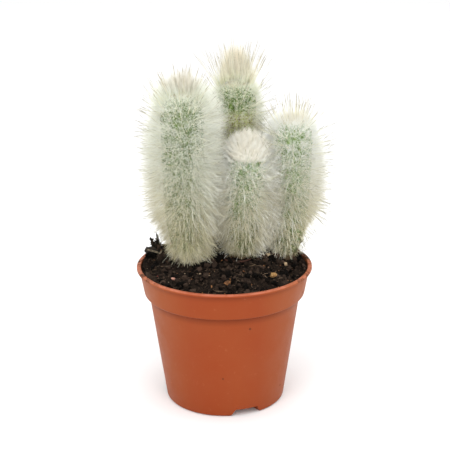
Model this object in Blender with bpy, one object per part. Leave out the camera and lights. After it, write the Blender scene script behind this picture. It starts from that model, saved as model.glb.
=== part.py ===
"""A potted columnar cactus: four ribbed, spined stems standing in potting soil in a plastic pot.

Run with: blender --background --python part.py
Metres, +Z up. The origin is the centre of the pot's flat floor, on the surface that it stands on.
The front, as the plant is usually shown, faces -Y.
"""

import math
import random

import bmesh
import bpy
from mathutils import Matrix, Vector, noise

# Driving sizes of the pot
POT_HEIGHT = 0.0955
RIM_RADIUS = 0.060
FOOT_RADIUS = 0.041
WALL = 0.0012
BAND_BOTTOM = 0.077
SHOULDER_RADIUS = 0.0519
BAND_LOW_RADIUS = 0.055
BAND_HIGH_RADIUS = 0.0582
LIP_HEIGHT = 0.0018
LIP_WIDTH = 0.0028
FOOT_ROUND = 0.0016
POT_SIDES = 60

# Drainage recesses under the floor, which open through the foot
RECESS_COUNT = 3
RECESS_FIRST_ANGLE = math.radians(-69.3)
RECESS_HEIGHT = 0.005
RECESS_HALF_LOW = math.radians(15.4)
RECESS_HALF_HIGH = math.radians(11.0)
RECESS_INNER_RADIUS = 0.016
DRAIN_HOLE_RADIUS = 0.004
DRAIN_HOLE_AT = 0.029

# The gap that touching pieces keep
FIT_GAP = 0.0003

# Soil
SOIL_EDGE_HEIGHT = 0.0915
SOIL_MOUND = 0.0075
SOIL_MOUND_START = 0.052
SOIL_MOUND_END = 0.030
SOIL_LUMP = 0.0016
SOIL_LUMP_SIZE = 0.009
SOIL_SIDES = 36
SOIL_RINGS = 10
SOIL_HEAPS = (
    dict(at=(-0.045, 0.019), height=0.0080, radius=0.011),
    dict(at=(0.044, 0.026), height=0.0042, radius=0.010),
)

# Bits that lie in the soil's surface: where, how far the middle is above the soil,
# (length, width, height), and turn in degrees
CHIPS = {
    "bark_chip_right": dict(at=(0.0317, -0.0239), lift=0.0006, size=(0.0085, 0.0055, 0.0030), turn=-12),
    "bark_chip_front": dict(at=(0.0023, -0.0398), lift=0.0004, size=(0.0065, 0.0040, 0.0024), turn=20),
    "bark_lump_left": dict(at=(-0.0508, 0.0178), lift=0.0018, size=(0.0115, 0.0070, 0.0058), turn=-8),
    "wood_bit_middle": dict(at=(0.0301, 0.0044), lift=0.0006, size=(0.0048, 0.0032, 0.0026), turn=-25),
    "wood_bit_right": dict(at=(0.0418, -0.0020), lift=0.0005, size=(0.0036, 0.0028, 0.0022), turn=50),
    "pale_flake_left": dict(at=(-0.0340, -0.0270), lift=0.0003, size=(0.0042, 0.0022, 0.0014), turn=-35),
    "red_flake_left": dict(at=(-0.0447, -0.0161), lift=0.0003, size=(0.0032, 0.0018, 0.0013), turn=40),
}

# Straws, splinters and a curl of bark: the middle line's points, and half the thickness at each
STALKS = {
    "straw_upper": dict(points=((-0.0534, 0.0122, 0.1020), (-0.0446, 0.0124, 0.0990)),
                        half=(0.00055, 0.00060)),
    "straw_crossing": dict(points=((-0.0464, 0.0100, 0.0962), (-0.0431, 0.0102, 0.1022)),
                           half=(0.00055, 0.00045)),
    "straw_long": dict(points=((-0.0505, 0.0047, 0.0921), (-0.0425, -0.0034, 0.0947),
                               (-0.0340, -0.0109, 0.0979)),
                       half=(0.00040, 0.00060, 0.00045)),
    "splinter_left_low": dict(points=((-0.0485, 0.0222, 0.0965), (-0.0500, 0.0222, 0.1030),
                                      (-0.0517, 0.0205, 0.1074)),
                              half=(0.0016, 0.0013, 0.0003)),
    "splinter_left_high": dict(points=((-0.0448, 0.0232, 0.0970), (-0.0466, 0.0240, 0.1040),
                                       (-0.0475, 0.0245, 0.1098)),
                               half=(0.0018, 0.0012, 0.0003)),
    "splinter_right": dict(points=((0.0470, 0.0265, 0.0935), (0.0520, 0.0285, 0.0990),
                                   (0.0562, 0.0300, 0.1022)),
                           half=(0.0005, 0.0008, 0.0003)),
    "bark_curl": dict(points=((-0.0010, 0.0040, 0.0988), (0.0005, -0.0012, 0.0986),
                              (0.0040, -0.0048, 0.0987), (0.0088, -0.0066, 0.0989),
                              (0.0140, -0.0062, 0.0994), (0.0185, -0.0036, 0.1003)),
                      half=(0.0003, 0.0007, 0.0009, 0.0009, 0.0007, 0.0003)),
}
SPINE_TO_BIT = 0.0010

# Stems
RIBS = 20
RIB_DEPTH = 0.10
FOOT_TAPER = 0.66
FOOT_TAPER_LENGTH = 0.034
ROOT_DEPTH = 0.018
ROOT_TIP_RADIUS = 0.0035
SOCKET_SIDES = 16
SOCKET_TOP = 0.012
SPINE_BASE_RADIUS = 0.00052
SPINE_SINK = 0.0011
SPINE_LENGTH = 0.0125
LONG_SPINE_LENGTH = 0.0175
AREOLE_PITCH = 0.0100
SPINE_TO_NEIGHBOUR = 0.0008
SPINE_TO_SOIL = 0.0016
SPINE_TO_RIM = 0.0025

# Each stem: where it leaves the soil, where its body ends, its radius, how far its middle
# bows sideways, how far its root leans back under the pot's middle, and how long its top tuft is
STEMS = {
    "tall_left_stem": dict(foot=(-0.0235, 0.002), top=(-0.0272, 0.004, 0.2135),
                           radius=0.0147, bow=(-0.0012, 0.0), root=(0.002, 0.0), tuft=0.0185),
    "tall_back_stem": dict(foot=(0.0075, 0.0415), top=(0.0090, 0.0440, 0.2130),
                           radius=0.0142, bow=(0.0, 0.0), root=(0.0, -0.004), tuft=0.0265),
    "short_front_stem": dict(foot=(0.0125, 0.0095), top=(0.0160, 0.0100, 0.1745),
                             radius=0.0135, bow=(0.0, 0.0), root=(0.0, 0.0), tuft=0.0145),
    "right_stem": dict(foot=(0.0415, 0.0185), top=(0.0475, 0.0225, 0.1915),
                       radius=0.0135, bow=(0.0016, 0.0), root=(-0.005, -0.002), tuft=0.0200),
}


def clear_scene():
    for obj in list(bpy.data.objects):
        bpy.data.objects.remove(obj, do_unlink=True)


def material(name, colour, roughness):
    made = bpy.data.materials.new(name)
    made.use_nodes = True
    shader = made.node_tree.nodes["Principled BSDF"]
    shader.inputs["Base Color"].default_value = (*colour, 1.0)
    shader.inputs["Roughness"].default_value = roughness
    shader.inputs["Metallic"].default_value = 0.0
    return made


def add_object(name, mesh_builder, finish=None, collection=None):
    """A new object from a bmesh, with its faces pointing out."""
    bmesh.ops.recalc_face_normals(mesh_builder, faces=mesh_builder.faces)
    mesh = bpy.data.meshes.new(name)
    mesh_builder.to_mesh(mesh)
    mesh_builder.free()
    obj = bpy.data.objects.new(name, mesh)
    (collection or bpy.context.scene.collection).objects.link(obj)
    if finish:
        mesh.materials.append(finish)
    return obj


def helper(obj):
    obj.hide_render = True
    obj.display_type = "WIRE"
    return obj


def boolean(obj, other, operation, solver="EXACT"):
    """Applies one Boolean with an object or a collection, and removes what it used."""
    modifier = obj.modifiers.new(operation.lower(), "BOOLEAN")
    modifier.operation = operation
    modifier.solver = solver
    if isinstance(other, bpy.types.Collection):
        modifier.operand_type = "COLLECTION"
        modifier.collection = other
        used = list(other.objects)
    else:
        modifier.object = other
        used = [other]
    graph = bpy.context.evaluated_depsgraph_get()
    result = bpy.data.meshes.new_from_object(obj.evaluated_get(graph))
    obj.modifiers.remove(modifier)
    obj.data = result
    for one in used:
        bpy.data.objects.remove(one, do_unlink=True)
    if isinstance(other, bpy.types.Collection):
        bpy.data.collections.remove(other)
    return obj


def smooth(obj, angle=35):
    obj.data.shade_smooth()
    obj.data.set_sharp_from_angle(angle=math.radians(angle))


def ring(mesh, points):
    return [mesh.verts.new(p) for p in points]


def bridge(mesh, low, high):
    count = len(low)
    for i in range(count):
        j = (i + 1) % count
        mesh.faces.new((low[i], low[j], high[j], high[i]))


def fan(mesh, verts, centre):
    middle = mesh.verts.new(centre)
    for i, vert in enumerate(verts):
        mesh.faces.new((vert, verts[(i + 1) % len(verts)], middle))


def turned(profile, sides):
    """A closed turned solid. profile is its (radius, height) points, from the axis round to the axis."""
    mesh = bmesh.new()
    rings = [
        ring(mesh, [(r * math.cos(a), r * math.sin(a), z)
                    for a in (math.tau * i / sides for i in range(sides))])
        for r, z in profile[1:-1]
    ]
    for low, high in zip(rings, rings[1:]):
        bridge(mesh, low, high)
    for end, verts in ((profile[0], rings[0]), (profile[-1], rings[-1])):
        fan(mesh, verts, (0, 0, end[1]))
    return mesh


# Pot: a thin moulded shell with a flared rim band, a rolled lip and drainage recesses in its floor

def inner_radius(height):
    """The radius of the pot's inside at a height above its floor."""
    if height < BAND_BOTTOM - WALL:
        share = height / (BAND_BOTTOM - WALL)
        return FOOT_RADIUS + (SHOULDER_RADIUS - FOOT_RADIUS) * share - WALL
    share = (height - BAND_BOTTOM) / (POT_HEIGHT - LIP_HEIGHT - BAND_BOTTOM)
    share = max(0.0, share)
    return BAND_LOW_RADIUS + (BAND_HIGH_RADIUS - BAND_LOW_RADIUS) * share - WALL


def sector(inner, low, high, steps=6):
    """A block round the axis. low and high are its (outer radius, half angle, height) at its two faces."""
    mesh = bmesh.new()
    layers = []
    for outer, half, z in (low, high):
        angles = [half * (2 * i / steps - 1) for i in range(steps + 1)]
        arc_out = [(outer * math.cos(a), outer * math.sin(a), z) for a in angles]
        arc_in = [(inner * math.cos(a), inner * math.sin(a), z) for a in reversed(angles)]
        layers.append(ring(mesh, arc_out + arc_in))
    bridge(mesh, *layers)
    mesh.faces.new(layers[0])
    mesh.faces.new(layers[1])
    bmesh.ops.triangulate(mesh, faces=mesh.faces)
    return mesh


def turn_mesh(mesh, angle):
    bmesh.ops.rotate(mesh, verts=mesh.verts, cent=(0, 0, 0), matrix=Matrix.Rotation(angle, 3, "Z"))
    return mesh


def recess_angles():
    return [RECESS_FIRST_ANGLE + math.tau * i / RECESS_COUNT for i in range(RECESS_COUNT)]


def recess_housings(grow, into_wall):
    """The raised part of the floor over each recess, as one helper object for each."""
    extra = grow / FOOT_RADIUS * 1.3
    made = bpy.data.collections.new("housings")
    bpy.context.scene.collection.children.link(made)
    top = RECESS_HEIGHT + grow
    for i, angle in enumerate(recess_angles()):
        block = sector(RECESS_INNER_RADIUS - grow,
                       (inner_radius(WALL / 2) + into_wall, RECESS_HALF_LOW + extra, WALL / 2),
                       (inner_radius(top) + into_wall, RECESS_HALF_HIGH + extra, top))
        helper(add_object(f"housing_{i}", turn_mesh(block, angle), collection=made))
    return made


def make_pot(finish):
    slope = math.atan2(SHOULDER_RADIUS - FOOT_RADIUS, BAND_BOTTOM)
    lip_bottom = POT_HEIGHT - LIP_HEIGHT
    lip_edge = 0.0004
    outside = [
        (0, 0),
        (FOOT_RADIUS - FOOT_ROUND, 0),
        (FOOT_RADIUS - FOOT_ROUND * 0.3, FOOT_ROUND * 0.3),
        (FOOT_RADIUS + FOOT_ROUND * math.tan(slope), FOOT_ROUND),
        (SHOULDER_RADIUS, BAND_BOTTOM - WALL),
        (BAND_LOW_RADIUS - WALL / 2, BAND_BOTTOM - WALL / 2),
        (BAND_LOW_RADIUS, BAND_BOTTOM + WALL / 4),
        (BAND_HIGH_RADIUS, lip_bottom),
        (RIM_RADIUS - lip_edge, lip_bottom),
        (RIM_RADIUS, lip_bottom + lip_edge),
        (RIM_RADIUS, POT_HEIGHT - lip_edge),
        (RIM_RADIUS - lip_edge, POT_HEIGHT),
        (RIM_RADIUS - LIP_WIDTH + lip_edge, POT_HEIGHT),
        (RIM_RADIUS - LIP_WIDTH, POT_HEIGHT - lip_edge),
    ]
    inside = [
        (inner_radius(lip_bottom), lip_bottom),
        (inner_radius(BAND_BOTTOM), BAND_BOTTOM),
        (inner_radius(BAND_BOTTOM - 1.01 * WALL), BAND_BOTTOM - WALL),
        (inner_radius(FOOT_ROUND + WALL), FOOT_ROUND + WALL),
        (inner_radius(0) - FOOT_ROUND, WALL),
        (0, WALL),
    ]
    pot = add_object("pot", turned(outside + inside, POT_SIDES), finish)
    boolean(pot, recess_housings(WALL, 0.4 * WALL), "UNION")
    beyond = 0.004
    for i, angle in enumerate(recess_angles()):
        flare = (RECESS_HALF_LOW - RECESS_HALF_HIGH) * beyond / RECESS_HEIGHT
        cutter = sector(RECESS_INNER_RADIUS,
                        (FOOT_RADIUS + beyond, RECESS_HALF_LOW + flare, -beyond),
                        (FOOT_RADIUS + beyond, RECESS_HALF_HIGH, RECESS_HEIGHT))
        boolean(pot, helper(add_object(f"recess_{i}", turn_mesh(cutter, angle))), "DIFFERENCE")
        hole = bmesh.new()
        place = Matrix.Translation((DRAIN_HOLE_AT * math.cos(angle), DRAIN_HOLE_AT * math.sin(angle),
                                    RECESS_HEIGHT))
        bmesh.ops.create_cone(hole, cap_ends=True, segments=12, radius1=DRAIN_HOLE_RADIUS,
                              radius2=DRAIN_HOLE_RADIUS, depth=4 * WALL, matrix=place)
        boolean(pot, helper(add_object(f"drain_{i}", hole)), "DIFFERENCE")
    smooth(pot)
    return pot


# Soil: a block that fills the pot and mounds up lumpily around the stems

def soil_height(x, y):
    away = math.hypot(x, y)
    share = (SOIL_MOUND_START - away) / (SOIL_MOUND_START - SOIL_MOUND_END)
    share = min(1.0, max(0.0, share))
    top = SOIL_EDGE_HEIGHT + SOIL_MOUND * share * share * (3 - 2 * share)
    top += SOIL_LUMP * noise.noise(Vector((x, y, 0.37)) / SOIL_LUMP_SIZE)
    for heap in SOIL_HEAPS:
        apart = math.dist((x, y), heap["at"]) / heap["radius"]
        top += heap["height"] * math.exp(-apart * apart)
    return top


def make_soil(finish):
    mesh = bmesh.new()
    angles = [math.tau * i / SOIL_SIDES for i in range(SOIL_SIDES)]

    def side(room, z):
        r = room - FIT_GAP
        return ring(mesh, [(r * math.cos(a), r * math.sin(a), z + FIT_GAP) for a in angles])

    bottom = side(inner_radius(0) - FOOT_ROUND, WALL)
    fan(mesh, bottom, (0, 0, WALL + FIT_GAP))
    low = side(inner_radius(FOOT_ROUND + WALL), FOOT_ROUND + WALL)
    shoulder = side(inner_radius(BAND_BOTTOM - 1.01 * WALL), BAND_BOTTOM - WALL)
    band = side(inner_radius(BAND_BOTTOM), BAND_BOTTOM)
    edge_radius = inner_radius(SOIL_EDGE_HEIGHT) - FIT_GAP
    tops = []
    for step in range(SOIL_RINGS):
        r = edge_radius * (1 - step / SOIL_RINGS)
        turn = 0.5 * (step % 2) * math.tau / SOIL_SIDES
        tops.append(ring(mesh, [(r * math.cos(a + turn), r * math.sin(a + turn),
                                 soil_height(r * math.cos(a + turn), r * math.sin(a + turn)))
                                for a in angles]))
    for below, above in zip([bottom, low, shoulder, band] + tops, [low, shoulder, band] + tops):
        bridge(mesh, below, above)
    fan(mesh, tops[-1], (0, 0, soil_height(0, 0)))
    bmesh.ops.triangulate(mesh, faces=[f for f in mesh.faces if len(f.verts) > 3])
    soil = add_object("potting_soil", mesh, finish)
    boolean(soil, recess_housings(WALL + FIT_GAP, WALL), "DIFFERENCE")
    for name, stem in STEMS.items():
        boolean(soil, helper(add_object(f"socket_{name}", socket(stem))), "DIFFERENCE")
    for name, chip in CHIPS.items():
        pocket = add_object(f"pocket_{name}", chip_mesh(name, chip, FIT_GAP))
        boolean(soil, helper(lay_chip(pocket, chip)), "DIFFERENCE")
    for name, stalk in STALKS.items():
        boolean(soil, helper(add_object(f"pocket_{name}", stalk_mesh(stalk, FIT_GAP))), "DIFFERENCE")
    return soil


# Bits of bark, wood and straw in the soil

def chip_middle(chip):
    x, y = chip["at"]
    return Vector((x, y, soil_height(x, y) + chip["lift"]))


def lay_chip(obj, chip):
    obj.location = chip_middle(chip)
    obj.rotation_euler.z = math.radians(chip["turn"])
    return obj


def chip_mesh(name, chip, grow=0.0):
    """A rough lump round its own middle. grow moves every face out by at least that much."""
    draw = random.Random(name)
    length, width, height = chip["size"]
    mesh = bmesh.new()
    for level, share in ((-0.5, 0.72), (0.05, 1.0), (0.5, 0.66)):
        for i in range(6):
            a = math.tau * (i + draw.uniform(-0.3, 0.3)) / 6
            r = 0.5 * share * draw.uniform(0.82, 1.0)
            mesh.verts.new((length * r * math.cos(a), width * r * math.sin(a),
                            height * (level + draw.uniform(-0.1, 0.1))))
    bmesh.ops.convex_hull(mesh, input=mesh.verts)
    bmesh.ops.delete(mesh, geom=[v for v in mesh.verts if not v.link_faces], context="VERTS")
    bmesh.ops.recalc_face_normals(mesh, faces=mesh.faces)
    mesh.normal_update()
    nearest = min(f.normal.dot(f.verts[0].co) for f in mesh.faces)
    bmesh.ops.scale(mesh, verts=mesh.verts, vec=[1 + grow / nearest] * 3)
    return mesh


def stalk_mesh(stalk, grow=0.0):
    """A five-sided stalk along its middle line. grow moves its sides and ends out by that much."""
    points = [Vector(p) for p in stalk["points"]]
    first = (points[1] - points[0]).normalized()
    last = (points[-1] - points[-2]).normalized()
    points[0] -= first * grow
    points[-1] += last * grow
    mesh = bmesh.new()
    rings = []
    for i, (middle, half) in enumerate(zip(points, stalk["half"])):
        along = (points[min(i + 1, len(points) - 1)] - points[max(i - 1, 0)]).normalized()
        across = along.cross(Vector((0, 0, 1))).normalized()
        other = across.cross(along)
        r = half + grow * 1.25
        rings.append(ring(mesh, [middle + r * (math.cos(a) * across + math.sin(a) * other)
                                 for a in (math.tau * k / 5 for k in range(5))]))
    for low, high in zip(rings, rings[1:]):
        bridge(mesh, low, high)
    mesh.faces.new(rings[0])
    mesh.faces.new(rings[-1])
    bmesh.ops.triangulate(mesh, faces=mesh.faces)
    return mesh


def bit_lines():
    """Every bit as (end, other end, half thickness), for spines to keep clear of."""
    lines = []
    for chip in CHIPS.values():
        length, width, height = chip["size"]
        turn = math.radians(chip["turn"])
        middle = chip_middle(chip)
        half = Vector((math.cos(turn), math.sin(turn), 0)) * (length - width) / 2
        lines.append((middle - half, middle + half, max(width, height) / 2))
    for stalk in STALKS.values():
        points = [Vector(p) for p in stalk["points"]]
        for i in range(len(points) - 1):
            lines.append((points[i], points[i + 1], max(stalk["half"][i:i + 2])))
    return lines


def distance_to_line(point, start, end):
    share = (point - start).dot(end - start) / (end - start).length_squared
    return (point - start.lerp(end, min(1.0, max(0.0, share)))).length


# Stems

BIT_LINES = bit_lines()


def foot_point(stem):
    x, y = stem["foot"]
    return Vector((x, y, soil_height(x, y)))


def stem_length(stem):
    return (Vector(stem["top"]) - foot_point(stem)).length


def axis_point(stem, s):
    """The point of a stem's middle line at a distance s above the soil; below it the root leans away."""
    foot = foot_point(stem)
    if s <= 0:
        lean = Vector((*stem["root"], -ROOT_DEPTH))
        return foot + lean * (-s / ROOT_DEPTH)
    share = s / stem_length(stem)
    bow = Vector((*stem["bow"], 0)) * 4 * share * (1 - share)
    return foot + (Vector(stem["top"]) - foot) * share + bow


def stem_radius(stem, s):
    """The crest radius at a distance s above the soil: a narrow foot, an even shaft and a round crown."""
    full, length = stem["radius"], stem_length(stem)
    if s <= 0:
        return ROOT_TIP_RADIUS + (full * FOOT_TAPER - ROOT_TIP_RADIUS) * (1 + s / ROOT_DEPTH)
    grow = min(1.0, s / FOOT_TAPER_LENGTH)
    shaft = full * (FOOT_TAPER + (1 - FOOT_TAPER) * math.sin(grow * math.pi / 2))
    crown = max(0.0, 1 - (length - s) / (1.15 * full))
    return shaft * math.sqrt(max(0.0, 1 - crown ** 2.4))


def socket(stem):
    """A plain hole for the buried foot, a little wider than it all round."""
    mesh = bmesh.new()
    to_corner = 1 / math.cos(math.pi / SOCKET_SIDES)
    rings = []
    for s in (-ROOT_DEPTH - FIT_GAP, 0.0, SOCKET_TOP):
        radius = (stem_radius(stem, max(s, -ROOT_DEPTH)) + FIT_GAP) * to_corner
        middle = axis_point(stem, s)
        rings.append(ring(mesh, [middle + Vector((radius * math.cos(a), radius * math.sin(a), 0))
                                 for a in (math.tau * i / SOCKET_SIDES for i in range(SOCKET_SIDES))]))
    for low, high in zip(rings, rings[1:]):
        bridge(mesh, low, high)
    mesh.faces.new(rings[0])
    mesh.faces.new(rings[-1])
    return mesh


def stem_body(stem):
    mesh = bmesh.new()
    length = stem_length(stem)
    columns = 2 * RIBS
    full = stem["radius"]
    levels = [-ROOT_DEPTH, -0.3 * ROOT_DEPTH, 0.001, 0.3 * FOOT_TAPER_LENGTH, 0.8 * FOOT_TAPER_LENGTH]
    shaft_end = length - 1.15 * full
    levels += [levels[-1] + (shaft_end - levels[-1]) * share for share in (0.5, 1.0)]
    levels += [length - full * share for share in (0.72, 0.4, 0.16, 0.03)]
    rings = []
    for s in levels:
        radius = stem_radius(stem, s)
        fade = min(1.0, max(0.0, s / (0.5 * FOOT_TAPER_LENGTH)))
        points = []
        for i in range(columns):
            a = math.tau * i / columns
            r = radius * (1 - RIB_DEPTH * fade * (i % 2))
            points.append(axis_point(stem, s) + Vector((r * math.cos(a), r * math.sin(a), 0)))
        rings.append(ring(mesh, points))
    for low, high in zip(rings, rings[1:]):
        bridge(mesh, low, high)
    fan(mesh, rings[0], axis_point(stem, -ROOT_DEPTH))
    fan(mesh, rings[-1], axis_point(stem, length - 0.0006))
    return mesh


def spine_mesh(root, tip):
    """A straight three-sided needle from inside the body to a sharp tip."""
    mesh = bmesh.new()
    along = (tip - root).normalized()
    across = along.orthogonal().normalized()
    other = along.cross(across)
    base = ring(mesh, [root + SPINE_BASE_RADIUS * (math.cos(a) * across + math.sin(a) * other)
                       for a in (math.tau * i / 3 for i in range(3))])
    mesh.faces.new(base)
    end = mesh.verts.new(tip)
    for i in range(3):
        mesh.faces.new((base[i], base[(i + 1) % 3], end))
    return mesh


def gap_to(stem, point):
    """How far a point stands outside a stem's widest radius, as the crown rounds off above."""
    height = point.z - foot_point(stem).z
    rise = Vector(stem["top"]).z - foot_point(stem).z
    share = min(1.0, max(0.0, height / rise))
    middle = axis_point(stem, share * stem_length(stem))
    level = min(point.z, Vector(stem["top"]).z - stem["radius"])
    middle.z = max(foot_point(stem).z, level)
    return (point - middle).length - stem["radius"]


def is_clear(name, stem, tip):
    """Whether a point of a spine is on its own side of every neighbour, above the soil and off the rim."""
    if tip.z < soil_height(tip.x, tip.y) + SPINE_TO_SOIL:
        return False
    if math.hypot(tip.x, tip.y) > RIM_RADIUS - 2 * LIP_WIDTH and tip.z < POT_HEIGHT + SPINE_TO_RIM:
        return False
    for start, end, half in BIT_LINES:
        if distance_to_line(tip, start, end) < half + SPINE_TO_BIT:
            return False
    own = gap_to(stem, tip)
    return all(own + SPINE_TO_NEIGHBOUR < gap_to(other, tip)
               for key, other in STEMS.items() if key != name)


def spine_ends(name, stem, s, angle, draw):
    """(root, tip) of a spine from the rib crest at height s, or None where no room is left for one."""
    length = stem_length(stem)
    full = stem["radius"]
    radius = stem_radius(stem, s)
    outward = Vector((math.cos(angle), math.sin(angle), 0))
    crest = axis_point(stem, s) + outward * radius
    crown = max(0.0, 1 - (length - s) / (1.15 * full))
    foot = max(0.0, 1 - s / FOOT_TAPER_LENGTH)
    lift = 0.28 + 1.2 * crown ** 1.5 - 0.9 * foot + draw.uniform(-0.2, 0.2) * (1 - crown)
    swing = angle + draw.uniform(-0.5, 0.5) * (1 - crown)
    heading = Vector((math.cos(swing) * math.cos(lift), math.sin(swing) * math.cos(lift), math.sin(lift)))
    reach = draw.choice((SPINE_LENGTH, SPINE_LENGTH, LONG_SPINE_LENGTH))
    if crown > 0.35:
        reach = stem["tuft"]
    reach *= draw.uniform(0.88, 1.06)
    inside = crest - outward * SPINE_SINK * (1 - crown) - Vector((0, 0, SPINE_SINK)) * crown
    while reach > 0.0035:
        tip = crest + heading * reach
        if all(is_clear(name, stem, crest + heading * reach * share) for share in (1.0, 0.8, 0.6, 0.4)):
            return inside, tip
        reach *= 0.85
        heading = (heading + Vector((0, 0, 0.12))).normalized()
    return None


def stem_spines(name, stem, finish, draw):
    made = bpy.data.collections.new(f"spines_{name}")
    bpy.context.scene.collection.children.link(made)
    length = stem_length(stem)
    rows = int((length - 0.009) / AREOLE_PITCH)
    places = []
    for rib in range(RIBS):
        angle = math.tau * rib / RIBS
        for row in range(rows + 1):
            s = 0.0075 + (row + 0.5 * (rib % 2)) * AREOLE_PITCH
            crowded = s > length - 0.75 * stem["radius"] and rib % 2
            if s < length - 0.0035 and not crowded:
                places.append((s, angle))
    for below, count in ((0.0030, 8), (0.0012, 6)):
        places += [(length - below, math.tau * (i + 0.3) / count) for i in range(count)]
    for number, (s, angle) in enumerate(places):
        ends = spine_ends(name, stem, s, angle, draw)
        if ends:
            helper(add_object(f"spine_{number}", spine_mesh(*ends), finish, made))
    return made


def make_stem(name, stem, finish, seed):
    body = add_object(name, stem_body(stem), finish)
    boolean(body, stem_spines(name, stem, finish, random.Random(seed)), "UNION", "MANIFOLD")
    smooth(body, 50)
    return body


def main():
    clear_scene()
    terracotta = material("terracotta_plastic", (0.47, 0.105, 0.035), 0.42)
    compost = material("potting_compost", (0.022, 0.014, 0.010), 0.95)
    skin = material("cactus_green_and_white_spines", (0.55, 0.60, 0.44), 0.7)
    colours = {"bark": (0.34, 0.13, 0.03), "wood": (0.50, 0.36, 0.22), "pale": (0.55, 0.38, 0.33),
               "red": (0.16, 0.03, 0.03), "straw": (0.42, 0.34, 0.22), "splinter": (0.03, 0.02, 0.015)}
    make_pot(terracotta)
    make_soil(compost)
    for name, chip in CHIPS.items():
        kind = name.split("_")[0]
        made = add_object(name, chip_mesh(name, chip), material(f"{name}_surface", colours[kind], 0.9))
        lay_chip(made, chip)
    for name, stalk in STALKS.items():
        kind = name.split("_")[0]
        add_object(name, stalk_mesh(stalk), material(f"{name}_surface", colours[kind], 0.9))
    for seed, (name, stem) in enumerate(STEMS.items()):
        make_stem(name, stem, skin, seed)


main()
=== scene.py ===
import math

import bmesh
import bpy
import numpy as np
from mathutils import Matrix, Vector, noise


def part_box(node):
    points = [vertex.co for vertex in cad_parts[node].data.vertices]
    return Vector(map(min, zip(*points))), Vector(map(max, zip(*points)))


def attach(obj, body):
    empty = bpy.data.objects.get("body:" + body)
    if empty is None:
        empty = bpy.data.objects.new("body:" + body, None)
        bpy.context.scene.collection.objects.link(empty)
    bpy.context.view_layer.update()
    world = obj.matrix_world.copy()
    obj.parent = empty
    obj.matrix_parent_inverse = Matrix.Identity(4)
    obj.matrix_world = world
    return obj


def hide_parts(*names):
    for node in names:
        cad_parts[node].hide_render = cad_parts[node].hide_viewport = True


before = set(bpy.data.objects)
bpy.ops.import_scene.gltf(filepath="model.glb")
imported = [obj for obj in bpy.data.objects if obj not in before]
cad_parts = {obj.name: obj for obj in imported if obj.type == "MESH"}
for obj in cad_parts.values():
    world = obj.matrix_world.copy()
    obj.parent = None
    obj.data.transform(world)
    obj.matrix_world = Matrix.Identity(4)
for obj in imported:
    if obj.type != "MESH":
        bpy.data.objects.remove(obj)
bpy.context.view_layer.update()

# Pot
# One thin shell of terracotta-coloured plastic, injection moulded in one shot. Its wall tapers down
# from a wider band and a rolled lip, and three drainage recesses are cut under its floor.

POT_HEIGHT = 0.0955
RIM_RADIUS = 0.060
FOOT_RADIUS = 0.041
POT_WALL = 0.0012
BAND_BOTTOM = 0.077
SHOULDER_RADIUS = 0.0519
BAND_LOW_RADIUS = 0.055
BAND_HIGH_RADIUS = 0.0582
LIP_HEIGHT = 0.0018
LIP_WIDTH = 0.0028
LIP_BOTTOM = POT_HEIGHT - LIP_HEIGHT
FOOT_ROUND = 0.0016
POT_SIDES = 180
RECESS_ANGLES = [math.radians(-69.3 + 120 * i) for i in range(3)]
RECESS_HEIGHT = 0.005
RECESS_HALF_LOW = math.radians(15.4)
RECESS_HALF_HIGH = math.radians(11.0)
RECESS_INNER_RADIUS = 0.016
DRAIN_HOLE_RADIUS = 0.004
DRAIN_HOLE_AT = 0.029
TERRACOTTA = (0.260, 0.0442, 0.0091)
TERRACOTTA_FADED = (0.264, 0.0513, 0.0122)
# The colour of the painted sheen towards the pot's left and right sides, as seen from the front
PAINTED_SIDE_SHEEN = (0.330, 0.105, 0.026)
# The colour of the painted shade in the creases under the band and under the lip
SHADED_CREASE = (0.120, 0.018, 0.003)
# The colour of the painted highlight along the top of the lip
PAINTED_LIP_HIGHLIGHT = (0.62, 0.22, 0.14)
SCUFFED = (0.50, 0.17, 0.085)
WET_DIRT = (0.030, 0.016, 0.009)
# The heights at which the painted shade in the creases under the band and under the lip begins, is darkest
# and ends
BAND_CREASE = (0.0700, 0.0752, 0.0757, 0.0762)
LIP_CREASE = (0.0893, 0.0931, 0.0933, 0.0938)
# Specks of dirt that stuck to the wall, and soil rubbed on the lip at the right: where, and how far
POT_SPECKS = (((0.0165, -0.0479, 0.0672), 0.0010), ((-0.0015, -0.0453, 0.0301), 0.0008),
              ((0.0379, -0.0201, 0.0131), 0.0009), ((0.0526, -0.0189, 0.0815), 0.0010))
LIP_SMEAR = ((0.0570, 0.0190, 0.0962), 0.0170)


def inside_radius(height):
    """The radius of the pot's inside at a height above the surface it stands on."""
    if height < BAND_BOTTOM - POT_WALL:
        share = height / (BAND_BOTTOM - POT_WALL)
        return FOOT_RADIUS + (SHOULDER_RADIUS - FOOT_RADIUS) * share - POT_WALL
    share = max(0.0, (height - BAND_BOTTOM) / (LIP_BOTTOM - BAND_BOTTOM))
    return BAND_LOW_RADIUS + (BAND_HIGH_RADIUS - BAND_LOW_RADIUS) * share - POT_WALL


def eased(corners, steps=4):
    """The rings of a profile through (radius, height, easing) corners, each rounded by its easing."""
    line = []
    for i, (radius, height, ease) in enumerate(corners):
        here = Vector((radius, height))
        if not ease:
            line.append(here)
            continue
        before = Vector(corners[i - 1][:2]) - here
        after = Vector(corners[i + 1][:2]) - here
        start = here + before.normalized() * min(ease, before.length / 2)
        end = here + after.normalized() * min(ease, after.length / 2)
        for k in range(steps + 1):
            t = k / steps
            line.append(start * (1 - t) ** 2 + here * 2 * t * (1 - t) + end * t * t)
    return [((0, 0, height), radius) for radius, height in line]


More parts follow.
